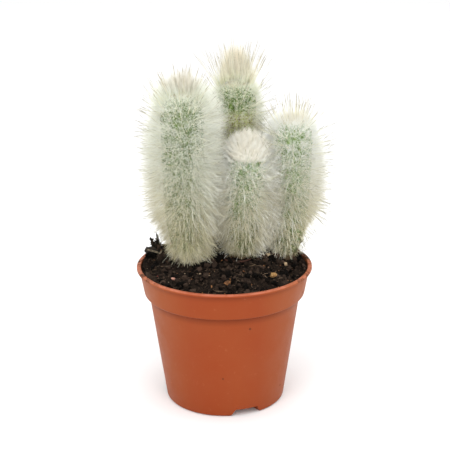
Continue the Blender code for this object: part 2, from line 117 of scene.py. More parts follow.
def drawn_up(name, rings, sides):
    """A closed shell drawn up from a flat disc, ring by ring. rings are (middle, radius)."""
    bpy.ops.object.select_all(action="DESELECT")
    middle, radius = rings[0]
    bpy.ops.mesh.primitive_circle_add(vertices=sides, radius=radius, fill_type="NGON", enter_editmode=True)
    bpy.ops.transform.translate(value=middle)
    for next_middle, next_radius in rings[1:]:
        step = Vector(next_middle) - Vector(middle)
        bpy.ops.mesh.extrude_region_move(TRANSFORM_OT_translate={"value": step})
        wider = next_radius / radius
        bpy.ops.transform.resize(value=(wider, wider, 1), center_override=next_middle)
        middle, radius = next_middle, next_radius
    bpy.ops.mesh.select_all(action="SELECT")
    bpy.ops.mesh.normals_make_consistent(inside=False)
    bpy.ops.object.mode_set(mode="OBJECT")
    made = bpy.context.object
    made.name = made.data.name = name
    return made


def joined(piece, other, operation, solver="EXACT"):
    """Applies one Boolean with another object, and removes that object."""
    modifier = piece.modifiers.new(operation.lower(), "BOOLEAN")
    modifier.operation = operation
    modifier.solver = solver
    modifier.object = other
    bpy.context.view_layer.objects.active = piece
    bpy.ops.object.modifier_apply(modifier=modifier.name)
    bpy.data.objects.remove(other, do_unlink=True)


def floor_block(inner, low, high, turn):
    """A wedge round the pot's axis. low and high are its (outer radius, half angle, height)."""
    mesh = bmesh.new()
    layers = []
    for outer, half, z in (low, high):
        angles = [turn + half * (i / 4 - 1) for i in range(9)]
        line = [(outer, a) for a in angles] + [(inner, a) for a in reversed(angles)]
        layers.append([mesh.verts.new((r * math.cos(a), r * math.sin(a), z)) for r, a in line])
    lower, upper = layers
    for i in range(len(lower)):
        j = (i + 1) % len(lower)
        mesh.faces.new((lower[i], lower[j], upper[j], upper[i]))
    mesh.faces.new(reversed(lower))
    mesh.faces.new(upper)
    bmesh.ops.triangulate(mesh, faces=mesh.faces)
    bmesh.ops.recalc_face_normals(mesh, faces=mesh.faces)
    data = bpy.data.meshes.new("floor_block")
    mesh.to_mesh(data)
    mesh.free()
    block = bpy.data.objects.new("floor_block", data)
    bpy.context.scene.collection.objects.link(block)
    return block


def recess_housing(turn, grow, into_wall):
    """The raised part of the pot's floor over one recess."""
    extra = grow / FOOT_RADIUS * 1.3
    top = RECESS_HEIGHT + grow
    return floor_block(RECESS_INNER_RADIUS - grow,
                       (inside_radius(POT_WALL / 2) + into_wall, RECESS_HALF_LOW + extra, POT_WALL / 2),
                       (inside_radius(top) + into_wall, RECESS_HALF_HIGH + extra, top), turn)


class Finish:
    """A Principled material built up from nodes that read the piece's own coordinates."""

    def __init__(self, name, **sockets):
        self.material = bpy.data.materials.new(name)
        self.material.use_nodes = True
        self.tree = self.material.node_tree
        self.shader = self.tree.nodes["Principled BSDF"]
        self.place = self.node("ShaderNodeTexCoord").outputs["Object"]
        self.set(**sockets)

    def set(self, **sockets):
        for key, value in sockets.items():
            self.feed(self.shader, key.replace("_", " ").title().replace("Ior", "IOR"), value)

    def feed(self, node, key, value):
        if isinstance(value, bpy.types.NodeSocket):
            self.tree.links.new(value, node.inputs[key])
        elif isinstance(value, tuple) and len(value) == 3 and node.inputs[key].type == "RGBA":
            node.inputs[key].default_value = (*value, 1)
        else:
            node.inputs[key].default_value = value

    def node(self, kind, inputs=None, **settings):
        made = self.tree.nodes.new(kind)
        for key, value in settings.items():
            setattr(made, key, value)
        for key, value in (inputs or {}).items():
            self.feed(made, key, value)
        return made

    def noise(self, scale, detail=3.0, roughness=0.5, where=None):
        inputs = {"Vector": where or self.place, "Scale": scale, "Detail": detail, "Roughness": roughness}
        return self.node("ShaderNodeTexNoise", inputs).outputs["Fac"]

    def spread(self, value, low, high, to_low=0.0, to_high=1.0):
        """A value's range stretched to another, and held at its ends."""
        inputs = {"Value": value, "From Min": low, "From Max": high, "To Min": to_low, "To Max": to_high}
        return self.node("ShaderNodeMapRange", inputs).outputs["Result"]

    def patches(self, grain, low, high, to_low=0.0, to_high=1.0):
        """Blotches: a noise of (scale, detail, roughness) with its range stretched."""
        return self.spread(self.noise(*grain), low, high, to_low, to_high)

    def between(self, value, start, full, last, end):
        """1 where a value lies between full and last, falling to 0 at start and at end."""
        return self.maths("MINIMUM", self.spread(value, start, full), self.spread(value, end, last))

    def maths(self, operation, first, second):
        return self.node("ShaderNodeMath", {0: first, 1: second}, operation=operation).outputs[0]

    def times(self, first, second):
        return self.maths("MULTIPLY", first, second)

    def vectors(self, operation, first, second):
        return self.node("ShaderNodeVectorMath", {0: first, 1: second}, operation=operation).outputs

    def mix(self, share, first, second, blend="MIX"):
        made = self.node("ShaderNodeMix", data_type="RGBA", blend_type=blend)
        for key, value in ((0, share), (6, first), (7, second)):
            self.feed(made, key, value)
        return made.outputs[2]

    def axis(self, letter):
        return self.node("ShaderNodeSeparateXYZ", {"Vector": self.place}).outputs[letter]

    def marks(self):
        """The values that each point of the piece carries, as Red, Green and Blue."""
        carried = self.node("ShaderNodeAttribute", attribute_name="marks").outputs["Color"]
        return self.node("ShaderNodeSeparateColor", {"Color": carried}).outputs

    def nearness(self, point, reach):
        """1 at a point of the piece, falling to 0 at a distance of reach from it."""
        return self.spread(self.vectors("DISTANCE", self.place, point)["Value"], reach, reach * 0.5)

    def dulled(self, scale, least, most):
        """Roughness that wanders between two values."""
        self.set(roughness=self.patches((scale,), 0.3, 0.7, least, most))

    def relief(self, height, distance, strength=1.0):
        inputs = {"Height": height, "Distance": distance, "Strength": strength}
        self.set(normal=self.node("ShaderNodeBump", inputs).outputs["Normal"])


def finished(piece, finish, slot, *replaced):
    """Gives a piece its finish, and fixes it to the object in place of the CAD nodes it stands for."""
    piece.data.materials.clear()
    piece.data.materials.append(finish.material)
    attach(piece, "root")
    if replaced:
        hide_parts(*replaced)
    return piece


def smoothed(piece, angle):
    """Shades a piece smooth, apart from edges that turn by more than an angle in degrees."""
    bpy.ops.object.select_all(action="DESELECT")
    piece.select_set(True)
    bpy.context.view_layer.objects.active = piece
    bpy.ops.object.shade_smooth_by_angle(angle=math.radians(angle))


pot = drawn_up("pot_shell", eased((
    (FOOT_RADIUS * 0.8, 0, 0),
    (FOOT_RADIUS, 0, FOOT_ROUND),
    (SHOULDER_RADIUS, BAND_BOTTOM - POT_WALL, 0.0007),
    (BAND_LOW_RADIUS, BAND_BOTTOM - POT_WALL / 2, 0.0011),
    (BAND_HIGH_RADIUS, LIP_BOTTOM, 0.0003),
    (RIM_RADIUS, LIP_BOTTOM, 0.0004),
    (RIM_RADIUS, POT_HEIGHT, 0.0007),
    (RIM_RADIUS - LIP_WIDTH, POT_HEIGHT, 0.0006),
    (inside_radius(LIP_BOTTOM), LIP_BOTTOM, 0.0003),
    (inside_radius(BAND_BOTTOM), BAND_BOTTOM, 0),
    (inside_radius(BAND_BOTTOM - 1.01 * POT_WALL), BAND_BOTTOM - POT_WALL, 0),
    (inside_radius(POT_WALL), POT_WALL, FOOT_ROUND),
    (FOOT_RADIUS * 0.7, POT_WALL, 0),
)), POT_SIDES)
# How far the cutter of a recess reaches past the wall and under the floor
BEYOND = 0.004
flare = (RECESS_HALF_LOW - RECESS_HALF_HIGH) * BEYOND / RECESS_HEIGHT
for turn in RECESS_ANGLES:
    joined(pot, recess_housing(turn, POT_WALL, 0.4 * POT_WALL), "UNION")
    low = (FOOT_RADIUS + BEYOND, RECESS_HALF_LOW + flare, -BEYOND)
    high = (FOOT_RADIUS + BEYOND, RECESS_HALF_HIGH, RECESS_HEIGHT)
    joined(pot, floor_block(RECESS_INNER_RADIUS, low, high, turn), "DIFFERENCE")
    bpy.ops.object.select_all(action="DESELECT")
    at = (DRAIN_HOLE_AT * math.cos(turn), DRAIN_HOLE_AT * math.sin(turn), RECESS_HEIGHT)
    bpy.ops.mesh.primitive_cylinder_add(vertices=24, radius=DRAIN_HOLE_RADIUS, depth=4 * POT_WALL,
                                        location=at)
    joined(pot, bpy.context.object, "DIFFERENCE")
smoothed(pot, 40)

plastic = Finish("terracotta_plastic", specular_ior_level=0.13)
level = plastic.axis("Z")
sides = plastic.maths("ABSOLUTE", plastic.axis("X"), 0.0)
body = plastic.mix(plastic.patches((28, 4, 0.55), 0.35, 0.68), TERRACOTTA, TERRACOTTA_FADED)
# Painted sheen: paler and yellower towards the left and right sides, where the wall turns away from the
# front
body = plastic.mix(plastic.spread(sides, 0.022, 0.056, 0.0, 0.55), body, PAINTED_SIDE_SHEEN)
# Painted shade in the creases under the band and under the lip, broken up a little by noise
painted_crease_shade = plastic.maths("MAXIMUM", plastic.times(plastic.between(level, *BAND_CREASE), 0.66),
                       plastic.times(plastic.between(level, *LIP_CREASE), 0.45))
crease_shade_breakup = plastic.patches((70, 3, 0.6), 0.3, 0.7, 0.8, 1.0)
body = plastic.mix(plastic.times(painted_crease_shade, crease_shade_breakup), body, SHADED_CREASE)
# Painted highlight along the top edge of the lip, in patches
worn = plastic.patches((120, 4, 0.6), 0.30, 0.62, 0.25, 1.0)
worn = plastic.times(plastic.spread(level, 0.0945, 0.0952), worn)
body = plastic.mix(plastic.times(worn, 0.50), body, PAINTED_LIP_HIGHLIGHT)
scuffs = plastic.patches((260, 5, 0.65), 0.62, 0.78)
body = plastic.mix(plastic.times(scuffs, 0.30), body, SCUFFED)
# Dirt on the lip, most of it at the sides, on the inner wall above the soil, and in a few specks
smear = plastic.patches((210, 5, 0.75), 0.50, 0.62)
rubbed = plastic.times(plastic.nearness(*LIP_SMEAR), plastic.patches((380, 4, 0.7), 0.36, 0.50))
smear = plastic.maths("MAXIMUM", smear, rubbed)
dirt = plastic.times(plastic.spread(level, 0.0930, 0.0952), smear)
dirt = plastic.times(dirt, plastic.spread(sides, 0.030, 0.057, 0.04, 1.0))
flat_place = plastic.vectors("MULTIPLY", plastic.place, (1.0, 1.0, 0.0))["Vector"]
from_axis = plastic.vectors("DISTANCE", flat_place, (0.0, 0.0, 0.0))["Value"]
inner_wall = plastic.spread(plastic.maths("ADD", from_axis, plastic.times(smear, 0.0003)), 0.0574, 0.0571)
inner_wall = plastic.times(inner_wall, plastic.spread(level, 0.0890, 0.0896))
dirt = plastic.maths("MAXIMUM", dirt, plastic.times(inner_wall, 0.85))
for spot, reach in POT_SPECKS:
    dirt = plastic.maths("MAXIMUM", dirt, plastic.times(plastic.nearness(spot, reach), 0.65))
plastic.set(base_color=plastic.mix(dirt, body, WET_DIRT))
rough = plastic.patches((90, 4, 0.6), 0.3, 0.7, 0.42, 0.56)
plastic.set(roughness=plastic.maths("ADD", rough, plastic.times(dirt, 0.35)))
plastic.relief(plastic.maths("ADD", plastic.noise(2200, 2, 0.5), plastic.times(dirt, 6.0)), 0.00006, 0.5)
finished(pot, plastic, "pot_plastic", "pot")

# Potting soil
# Dark peat compost with crumbs, fibres and specks of bark, pressed into the pot by hand. It fills the
# pot, mounds up round the stems and has a plain hole for each stem's foot.

FIT_GAP = 0.0003
SOIL_EDGE_HEIGHT = 0.0915
SOIL_MOUND = 0.0075
SOIL_MOUND_START = 0.052
SOIL_MOUND_END = 0.030
SOIL_LUMP = 0.0016
SOIL_LUMP_SIZE = 0.009
SOIL_HEAPS = (((-0.045, 0.019), 0.0080, 0.011), ((0.044, 0.026), 0.0042, 0.010))
# The bank of soil against the wall at the sides and the back: its height, its start and its width
SOIL_BANK = 0.0026
SOIL_BANK_START = 0.046
SOIL_BANK_WIDTH = 0.010
# The size and the height of the large and small lumps and of the crust, which end short of the wall
LARGE_LUMPS = (0.0044, 0.0030)
SMALL_LUMPS = (0.0015, 0.0011)
CRUST = (0.0011, 0.0004)
LUMPS_END = 0.0545
SOIL_GRID = 150
PEAT_DARK = (0.0028, 0.0019, 0.0013)
PEAT_BROWN = (0.0225, 0.0145, 0.0098)
PEAT_DRY = (0.200, 0.130, 0.086)

# The stems' feet make the holes, so the stems' sizes are here: how a foot and a crown narrow, and for
# each stem where it leaves the soil, where its body ends, its radius, how far its middle bows aside,
# and how its root leans under the pot's middle
FOOT_TAPER = 0.66
FOOT_TAPER_LENGTH = 0.034
CROWN_LENGTH = 1.15
CROWN_CURVE = 2.4
ROOT_DEPTH = 0.018
ROOT_TIP_RADIUS = 0.0035
STEMS = {
    "tall_left_stem": dict(foot=(-0.0235, 0.002), top=(-0.0272, 0.004, 0.2135), radius=0.0147,
                           bow=(-0.0012, 0.0), root=(0.002, 0.0)),
    "tall_back_stem": dict(foot=(0.0075, 0.0415), top=(0.0090, 0.0440, 0.2130), radius=0.0142,
                           bow=(0.0, 0.0), root=(0.0, -0.004)),
    "short_front_stem": dict(foot=(0.0125, 0.0095), top=(0.0160, 0.0100, 0.1745), radius=0.0135,
                             bow=(0.0, 0.0), root=(0.0, 0.0)),
    "right_stem": dict(foot=(0.0415, 0.0185), top=(0.0475, 0.0225, 0.1915), radius=0.0135,
                       bow=(0.0016, 0.0), root=(-0.005, -0.002)),
}


def soil_height(x, y):
    """The height of the soil: a mound round the stems with low lumps, and a heap at each side."""
    share = (SOIL_MOUND_START - math.hypot(x, y)) / (SOIL_MOUND_START - SOIL_MOUND_END)
    share = min(1.0, max(0.0, share))
    top = SOIL_EDGE_HEIGHT + SOIL_MOUND * share * share * (3 - 2 * share)
    top += SOIL_LUMP * noise.noise(Vector((x, y, 0.37)) / SOIL_LUMP_SIZE)
    for at, height, radius in SOIL_HEAPS:
        top += height * math.exp(-(math.dist((x, y), at) / radius) ** 2)
    return top


def crumbly_height(x, y):
    """The soil's height with its rounded lumps, its fine crust and the bank against the wall."""
    large = LARGE_LUMPS[1] * (0.45 - noise.voronoi(Vector((x, y, 0.0)) / LARGE_LUMPS[0])[0][0])
    small = SMALL_LUMPS[1] * (0.45 - noise.voronoi(Vector((x, y, 0.1)) / SMALL_LUMPS[0])[0][0])
    crust = CRUST[1] * noise.fractal(Vector((x, y, 0.2)) / CRUST[0], 0.9, 2.1, 3)
    from_middle = math.hypot(x, y)
    away = max(0.0, 1 - max(0.0, from_middle - LUMPS_END) / 0.002)
    beside = min(1.0, max(0.0, (math.atan2(abs(x), -y) - 0.7) / 0.5))
    bank = SOIL_BANK * beside * min(1.0, max(0.0, (from_middle - SOIL_BANK_START) / SOIL_BANK_WIDTH)) ** 2
    return soil_height(x, y) + bank + away * (large + small + crust)


def foot_height(stem):
    return soil_height(*stem["foot"])


def stem_length(stem):
    return math.dist(stem["top"], (*stem["foot"], foot_height(stem)))


def stem_axis(stem, s):
    """Points of a stem's middle line at distances s above the soil. Below it the root leans away."""
    s = np.asarray(s, float)[..., None]
    foot = np.array((*stem["foot"], foot_height(stem)))
    share = s / stem_length(stem)
    bow = np.array((*stem["bow"], 0)) * 4 * share * (1 - share)
    shaft = foot + (np.array(stem["top"]) - foot) * share + bow
    root = foot + np.array((*stem["root"], -ROOT_DEPTH)) * (-s / ROOT_DEPTH)
    return np.where(s > 0, shaft, root)


def stem_radius(stem, s):
    """The crest radius at distances s above the soil: a narrow foot, an even shaft and a round crown."""
    s = np.asarray(s, float)
    full = stem["radius"]
    widening = np.clip(s / FOOT_TAPER_LENGTH, 0, 1)
    shaft = full * (FOOT_TAPER + (1 - FOOT_TAPER) * np.sin(widening * math.pi / 2))
    crown = np.clip(1 - (stem_length(stem) - s) / (CROWN_LENGTH * full), 0, 1)
    root = ROOT_TIP_RADIUS + (full * FOOT_TAPER - ROOT_TIP_RADIUS) * (1 + s / ROOT_DEPTH)
    return np.where(s > 0, shaft * np.sqrt(1 - crown ** CROWN_CURVE), root)


def soil_side(height, radius):
    """Draws the soil's rim down to a flat ring at a height, just inside the pot."""
    bpy.ops.mesh.extrude_edges_move()
    mesh = bmesh.from_edit_mesh(bpy.context.object.data)
    for vert in (v for v in mesh.verts if v.select):
        vert.co = Vector((*(vert.co.xy.normalized() * (radius - FIT_GAP)), height + FIT_GAP))
    bmesh.update_edit_mesh(bpy.context.object.data)


bpy.ops.object.select_all(action="DESELECT")
bpy.ops.mesh.primitive_grid_add(x_subdivisions=SOIL_GRID, y_subdivisions=SOIL_GRID, size=2)
soil = bpy.context.object
soil.name = soil.data.name = "soil_block"
edge_radius = inside_radius(SOIL_EDGE_HEIGHT) - FIT_GAP
for vert in soil.data.vertices:
    u, v, _ = vert.co
    across, along = (u, v) if abs(u) > abs(v) else (v, u)
    turn = math.pi / 4 * along / across if across else 0.0
    x, y = edge_radius * across * math.cos(turn), edge_radius * across * math.sin(turn)
    if abs(u) <= abs(v):
        x, y = y, x
    vert.co = (x, y, crumbly_height(x, y))
bpy.ops.object.mode_set(mode="EDIT")
bpy.ops.mesh.select_mode(type="EDGE")
bpy.ops.mesh.select_all(action="DESELECT")
bpy.ops.mesh.select_non_manifold(use_wire=False, use_multi_face=False, use_non_contiguous=False,
                                 use_verts=False)
soil_side(BAND_BOTTOM, inside_radius(BAND_BOTTOM))
soil_side(BAND_BOTTOM - POT_WALL, inside_radius(BAND_BOTTOM - 1.01 * POT_WALL))
soil_side(FOOT_ROUND + POT_WALL, inside_radius(FOOT_ROUND + POT_WALL))
bpy.ops.mesh.extrude_edges_move(TRANSFORM_OT_translate={"value": (0, 0, -FOOT_ROUND)})
inner = 1 - FOOT_ROUND / FOOT_RADIUS
bpy.ops.transform.resize(value=(inner, inner, 1), center_override=(0, 0, POT_WALL))
bpy.ops.mesh.edge_face_add()
bpy.ops.mesh.select_all(action="SELECT")
bpy.ops.mesh.normals_make_consistent(inside=False)
bpy.ops.mesh.select_mode(type="VERT")
bpy.ops.object.mode_set(mode="OBJECT")
for turn in RECESS_ANGLES:
    joined(soil, recess_housing(turn, POT_WALL + FIT_GAP, POT_WALL), "DIFFERENCE", "MANIFOLD")
for name, stem in STEMS.items():
    rings = [(tuple(stem_axis(stem, s)), float(stem_radius(stem, max(s, -ROOT_DEPTH))) + FIT_GAP)
             for s in (-ROOT_DEPTH - FIT_GAP, -ROOT_DEPTH / 2, 0.0)]
    rings.append((tuple(stem_axis(stem, 0.012)), rings[-1][1]))
    joined(soil, drawn_up("socket", rings, 40), "DIFFERENCE", "MANIFOLD")
smoothed(soil, 60)

peat = Finish("peat_compost", specular_ior_level=0.08)
clods = peat.mix(peat.patches((420, 5, 0.7), 0.36, 0.66), PEAT_DARK, PEAT_BROWN)
dry = peat.patches((1100, 4, 0.7), 0.60, 0.78, 0.0, 0.55)
peat.set(base_color=peat.mix(dry, clods, PEAT_DRY))
peat.dulled(300, 0.72, 1.0)
peat.relief(peat.noise(2600, 5, 0.75), 0.0004, 0.9)
finished(soil, peat, "potting_soil", "potting_soil")

# Crumbs, fibres and specks of the soil
# Loose peat crumbs, most of them 1 mm and a few 3 to 5 mm across, brown root fibres, and specks of
# orange bark and pale wood. They lie on the soil as they fell and are pressed a little into it.

CRUMBS = 2600
CRUMB_LEAST = 0.00036
CRUMB_MORE = 0.0021
LARGE_CRUMB = 0.0007
CRUMB_BROWN = (0.055, 0.036, 0.026)
FIBRES = 520
FIBRE_LENGTHS = (0.0025, 0.0085)
FIBRE_RADII = (0.00008, 0.00020)
BARK_SPECKS = 90
WOOD_SPECKS = 26


def points_of(data):
    """A mesh's points as an array."""
    points = np.empty(len(data.vertices) * 3)
    data.vertices.foreach_get("co", points)
    return points.reshape(-1, 3)


def pattern():
    """The points and triangles of the object just modelled, which is then removed."""
    made = bpy.context.object
    points = points_of(made.data)
    made.data.calc_loop_triangles()
    triangles = np.empty(len(made.data.loop_triangles) * 3, np.int32)
    made.data.loop_triangles.foreach_get("vertices", triangles)
    bpy.data.objects.remove(made, do_unlink=True)
    return points, triangles.reshape(-1, 3)


def marked(data, marks):
    """Gives each point of a mesh the values that its finish reads as Red, Green and Blue."""
    colours = np.ones((len(data.vertices), 4), np.float32)
    colours[:, :marks.shape[1]] = marks
    data.attributes.new("marks", "FLOAT_COLOR", "POINT").data.foreach_set("color", colours.ravel())


def meshed(name, points, triangles, marks=None, smooth=True):
    """An object from arrays of points, triangles and each point's marks."""
    data = bpy.data.meshes.new(name)
    data.vertices.add(len(points))
    data.vertices.foreach_set("co", np.ascontiguousarray(points, np.float32).ravel())
    data.loops.add(3 * len(triangles))
    data.loops.foreach_set("vertex_index", np.ascontiguousarray(triangles, np.int32).ravel())
    data.polygons.add(len(triangles))
    data.polygons.foreach_set("loop_start", np.arange(0, 3 * len(triangles), 3, dtype=np.int32))
    data.update(calc_edges=True)
    if smooth:
        data.shade_smooth()
    else:
        data.shade_flat()
    if marks is not None:
        marked(data, marks)
    made = bpy.data.objects.new(name, data)
    bpy.context.scene.collection.objects.link(made)
    return made


def copied(patterns, choice, axes, places):
    """Copies of a few patterns, each turned and scaled by its axes and set at its place."""
    points, triangles, owners = [], [], []
    count = 0
    for number, (shape, faces) in enumerate(patterns):
        mine = np.flatnonzero(choice == number)
        placed = np.einsum("nij,kj->nki", axes[mine], shape) + places[mine][:, None]
        points.append(placed.reshape(-1, 3))
        firsts = count + len(shape) * np.arange(len(mine))
        triangles.append((faces[None] + firsts[:, None, None]).reshape(-1, 3))
        owners.append(np.repeat(mine, len(shape)))
        count += len(points[-1])
    return np.concatenate(points), np.concatenate(triangles), np.concatenate(owners)


def turned_axes(draw, count):
    """Random turns, as one matrix for each copy."""
    four = draw.normal(size=(count, 4))
    w, x, y, z = (four / np.linalg.norm(four, axis=1)[:, None]).T
    rows = ((1 - 2 * (y * y + z * z), 2 * (x * y - w * z), 2 * (x * z + w * y)),
            (2 * (x * y + w * z), 1 - 2 * (x * x + z * z), 2 * (y * z - w * x)),
            (2 * (x * z - w * y), 2 * (y * z + w * x), 1 - 2 * (x * x + y * y)))
    return np.stack([np.stack(row, axis=1) for row in rows], axis=1)


def tumbled(draw, sizes, *spans):
    """Random turns and three random proportions for bits of given sizes, as one matrix for each."""
    turns = turned_axes(draw, len(sizes))
    shares = np.stack([draw.uniform(*span, len(sizes)) for span in spans], 1)
    return turns * (sizes[:, None] * shares)[:, None, :]


def strewn(draw, count, spread=0.0555):
    """Random places on the soil, clear of the stems' feet, as (x, y, height)."""
    feet = [(stem["foot"], stem["radius"] * FOOT_TAPER + 0.001) for stem in STEMS.values()]
    places = []
    while len(places) < count:
        r, a = spread * math.sqrt(draw.random()), draw.uniform(0, math.tau)
        x, y = r * math.cos(a), r * math.sin(a)
        if all(math.dist((x, y), foot) > clear for foot, clear in feet):
            places.append((x, y, crumbly_height(x, y)))
    return np.array(places)


def lump(seed, level):
    """One crumb: a ball pulled out of shape."""
    bpy.ops.object.select_all(action="DESELECT")
    bpy.ops.mesh.primitive_ico_sphere_add(subdivisions=level, radius=1.0)
    for vert in bpy.context.object.data.vertices:
        dent = noise.noise(vert.co * 1.4 + Vector((seed * 7.1, 0, 0)))
        dent += 0.5 * noise.noise(vert.co * 3.7 + Vector((seed * 3.3, 0, 0)))
        vert.co *= 1 + 0.7 * dent
    return pattern()


draw = np.random.default_rng(5)
sizes = CRUMB_LEAST + CRUMB_MORE * draw.random(CRUMBS) ** 6
axes = turned_axes(draw, CRUMBS) * (sizes[:, None] * draw.uniform(0.6, 1.3, (CRUMBS, 3)))[:, None, :]
places = strewn(draw, CRUMBS)
places[:, 2] += sizes * 0.25
large = sizes > LARGE_CRUMB
choice = np.where(large, draw.integers(0, 3, CRUMBS), draw.integers(3, 6, CRUMBS))
patterns = [lump(i, 2) for i in range(3)] + [lump(i, 1) for i in range(3, 6)]
points, triangles, owners = copied(patterns, choice, axes, places)
shades = draw.random((CRUMBS, 3))
shades[:, 1] *= np.where(large, 0.8, 1.0)
crumbs = meshed("soil_crumbs", points, triangles, shades[owners], smooth=False)
crumb = Finish("peat_crumbs", specular_ior_level=0.08)
marks = crumb.marks()
tone = crumb.mix(crumb.spread(marks["Red"], 0.35, 1.0), PEAT_DARK, CRUMB_BROWN)
dusty = crumb.times(crumb.spread(marks["Green"], 0.86, 0.97), crumb.patches((900,), 0.35, 0.6))
crumb.set(base_color=crumb.mix(dusty, tone, PEAT_DRY))
crumb.dulled(700, 0.75, 1.0)
crumb.relief(crumb.noise(3200, 4, 0.7), 0.0003, 0.8)
finished(crumbs, crumb, "potting_soil")

bpy.ops.object.select_all(action="DESELECT")
bpy.ops.mesh.primitive_cylinder_add(vertices=4, radius=1.0, depth=1.0, end_fill_type="TRIFAN",
                                    enter_editmode=True)
for level in (-0.3, -0.1, 0.1, 0.3):
    bpy.ops.mesh.select_all(action="SELECT")
    bpy.ops.mesh.bisect(plane_co=(0, 0, level), plane_no=(0, 0, 1))
bpy.ops.object.mode_set(mode="OBJECT")
shape, faces = pattern()
draw = np.random.default_rng(8)
points = []
for place in strewn(draw, FIBRES, 0.053):
    heading = draw.uniform(0, math.tau)
    rise = draw.uniform(-0.15, 0.45)
    length = draw.uniform(*FIBRE_LENGTHS)
    along = Vector((math.cos(heading) * math.cos(rise), math.sin(heading) * math.cos(rise), math.sin(rise)))
    across = along.cross(Vector((0, 0, 1))).normalized()
    up = across.cross(along)
    bend = draw.uniform(-0.35, 0.35) * length
    thick = draw.uniform(*FIBRE_RADII)
    for x, y, z in shape:
        thin = thick * (1 - 0.7 * abs(2 * z))
        points.append(Vector(place) + along * (z * length) + across * (x * thin + bend * (4 * z * z - 0.5))
                      + up * (y * thin + 0.0005))
triangles = np.concatenate([faces + i * len(shape) for i in range(FIBRES)])
shades = np.repeat(draw.random((FIBRES, 3)), len(shape), axis=0)
fibres = meshed("soil_fibres", np.array(points), triangles, shades)
fibre = Finish("root_fibres", specular_ior_level=0.3)
tone = fibre.mix(fibre.spread(fibre.marks()["Red"], 0.60, 1.0), (0.018, 0.011, 0.007), (0.33, 0.225, 0.14))
fibre.set(base_color=fibre.mix(fibre.patches((1500,), 0.4, 0.7, 0.0, 0.5), tone, (0.05, 0.03, 0.018)))
fibre.dulled(900, 0.6, 0.95)
fibre.relief(fibre.noise(5000), 0.0001, 0.6)
finished(fibres, fibre, "potting_soil")


def speckled(name, count, seed, size, colours, slot):
    """Small flakes strewn over the soil, of a colour between two."""
    draw = np.random.default_rng(seed)
    sizes = draw.uniform(*size, count)
    axes = tumbled(draw, sizes, (0.8, 1.5), (0.5, 0.9), (0.25, 0.5))
    places = strewn(draw, count)
    places[:, 2] += sizes * 0.35
    patterns = [lump(seed + i, 1) for i in range(3)]
    points, triangles, owners = copied(patterns, draw.integers(0, 3, count), axes, places)
    made = meshed(name, points, triangles, draw.random((count, 3))[owners])
    finish = Finish(f"{name}_surface", specular_ior_level=0.3)
    tone = finish.mix(finish.marks()["Red"], *colours)
    stains = finish.patches((1300, 4, 0.7), 0.45, 0.7, 0.0, 0.7)
    finish.set(base_color=finish.mix(stains, tone, PEAT_BROWN))
    finish.dulled(800, 0.7, 0.95)
    finish.relief(finish.noise(4000, 4, 0.7), 0.0002, 0.7)
    finished(made, finish, slot)


speckled("bark_specks", BARK_SPECKS, 21, (0.0004, 0.0011), ((0.16, 0.055, 0.015), (0.30, 0.13, 0.045)),
         "bark")
speckled("wood_specks", WOOD_SPECKS, 31, (0.0003, 0.0007), ((0.30, 0.21, 0.12), (0.50, 0.38, 0.25)),
         "pale_wood")

# Bark shards
# A heap of small dark splinters of bark that broke up along its grain. They lie loose at the left
# wall, in and between the two large splinters that stand there, and fray their edges.

SHARDS = 70
SHARD_HEAP = (-0.0465, 0.0165)
SHARD_SPREAD = (0.0045, 0.0060)
SHARD_SIZES = (0.0004, 0.0009)
SHARDS_OFF_STEM = 0.0125
SHARDS_OFF_WALL = 0.0550
# The low and the high end of each large splinter
SHARD_SPLINTERS = (((-0.0485, 0.0222, 0.0965), (-0.0517, 0.0205, 0.1074)),
                   ((-0.0448, 0.0232, 0.0970), (-0.0475, 0.0245, 0.1098)))
FRAYS = 16
FILLING = 40
SHARD_SEED = 41
# Blender's vector noise starts from the clock unless it is given a seed too
noise.seed_set(SHARD_SEED)
draw = np.random.default_rng(SHARD_SEED)
bpy.ops.object.select_all(action="DESELECT")
bpy.ops.mesh.primitive_cone_add(vertices=5, radius1=1.0, radius2=0.35, depth=2.0, enter_editmode=True)
bpy.ops.mesh.quads_convert_to_tris()
bpy.ops.mesh.subdivide(number_cuts=1)
bpy.ops.object.mode_set(mode="OBJECT")
for vert in bpy.context.object.data.vertices:
    vert.co += 0.35 * Vector(noise.noise_vector(vert.co * 1.7))
shard_pattern = pattern()
places = []
while len(places) < SHARDS:
    x, y = np.array(SHARD_HEAP) + draw.normal(0, SHARD_SPREAD)
    clear_of_stem = math.dist((x, y), STEMS["tall_left_stem"]["foot"]) > SHARDS_OFF_STEM
    if clear_of_stem and math.hypot(x, y) < SHARDS_OFF_WALL:
        places.append((x, y, crumbly_height(x, y)))
splinters = np.array(SHARD_SPLINTERS)
for low, high in splinters:
    for share in draw.uniform(0.1, 0.75, FRAYS):
        places.append(tuple(low * (1 - share) + high * share + draw.normal(0, 0.0009, 3)))
for share, side in draw.uniform((0.1, 0.0), (0.62, 1.0), (FILLING, 2)):
    low, high = splinters[0] * (1 - side) + splinters[1] * side
    places.append(tuple(low * (1 - share) + high * share + draw.normal(0, 0.0005, 3)))
places = np.array(places)
count = len(places)
sizes = draw.uniform(*SHARD_SIZES, count)
axes = tumbled(draw, sizes, (0.5, 1.1), (0.4, 0.7), (1.2, 3.2))
places[:, 2] += sizes * draw.uniform(0.2, 1.0, count)
points, triangles, owners = copied([shard_pattern], np.zeros(count, int), axes, places)
shards = meshed("bark_shards", points, triangles, draw.random((count, 3))[owners], smooth=False)
shard = Finish("charred_bark", specular_ior_level=0.15)
tone = shard.mix(shard.spread(shard.marks()["Red"], 0.6, 1.0), (0.006, 0.005, 0.004), (0.06, 0.042, 0.028))
shard.set(base_color=shard.mix(shard.patches((1500,), 0.45, 0.7, 0.0, 0.5), tone, (0.035, 0.025, 0.018)))
shard.dulled(900, 0.6, 0.9)
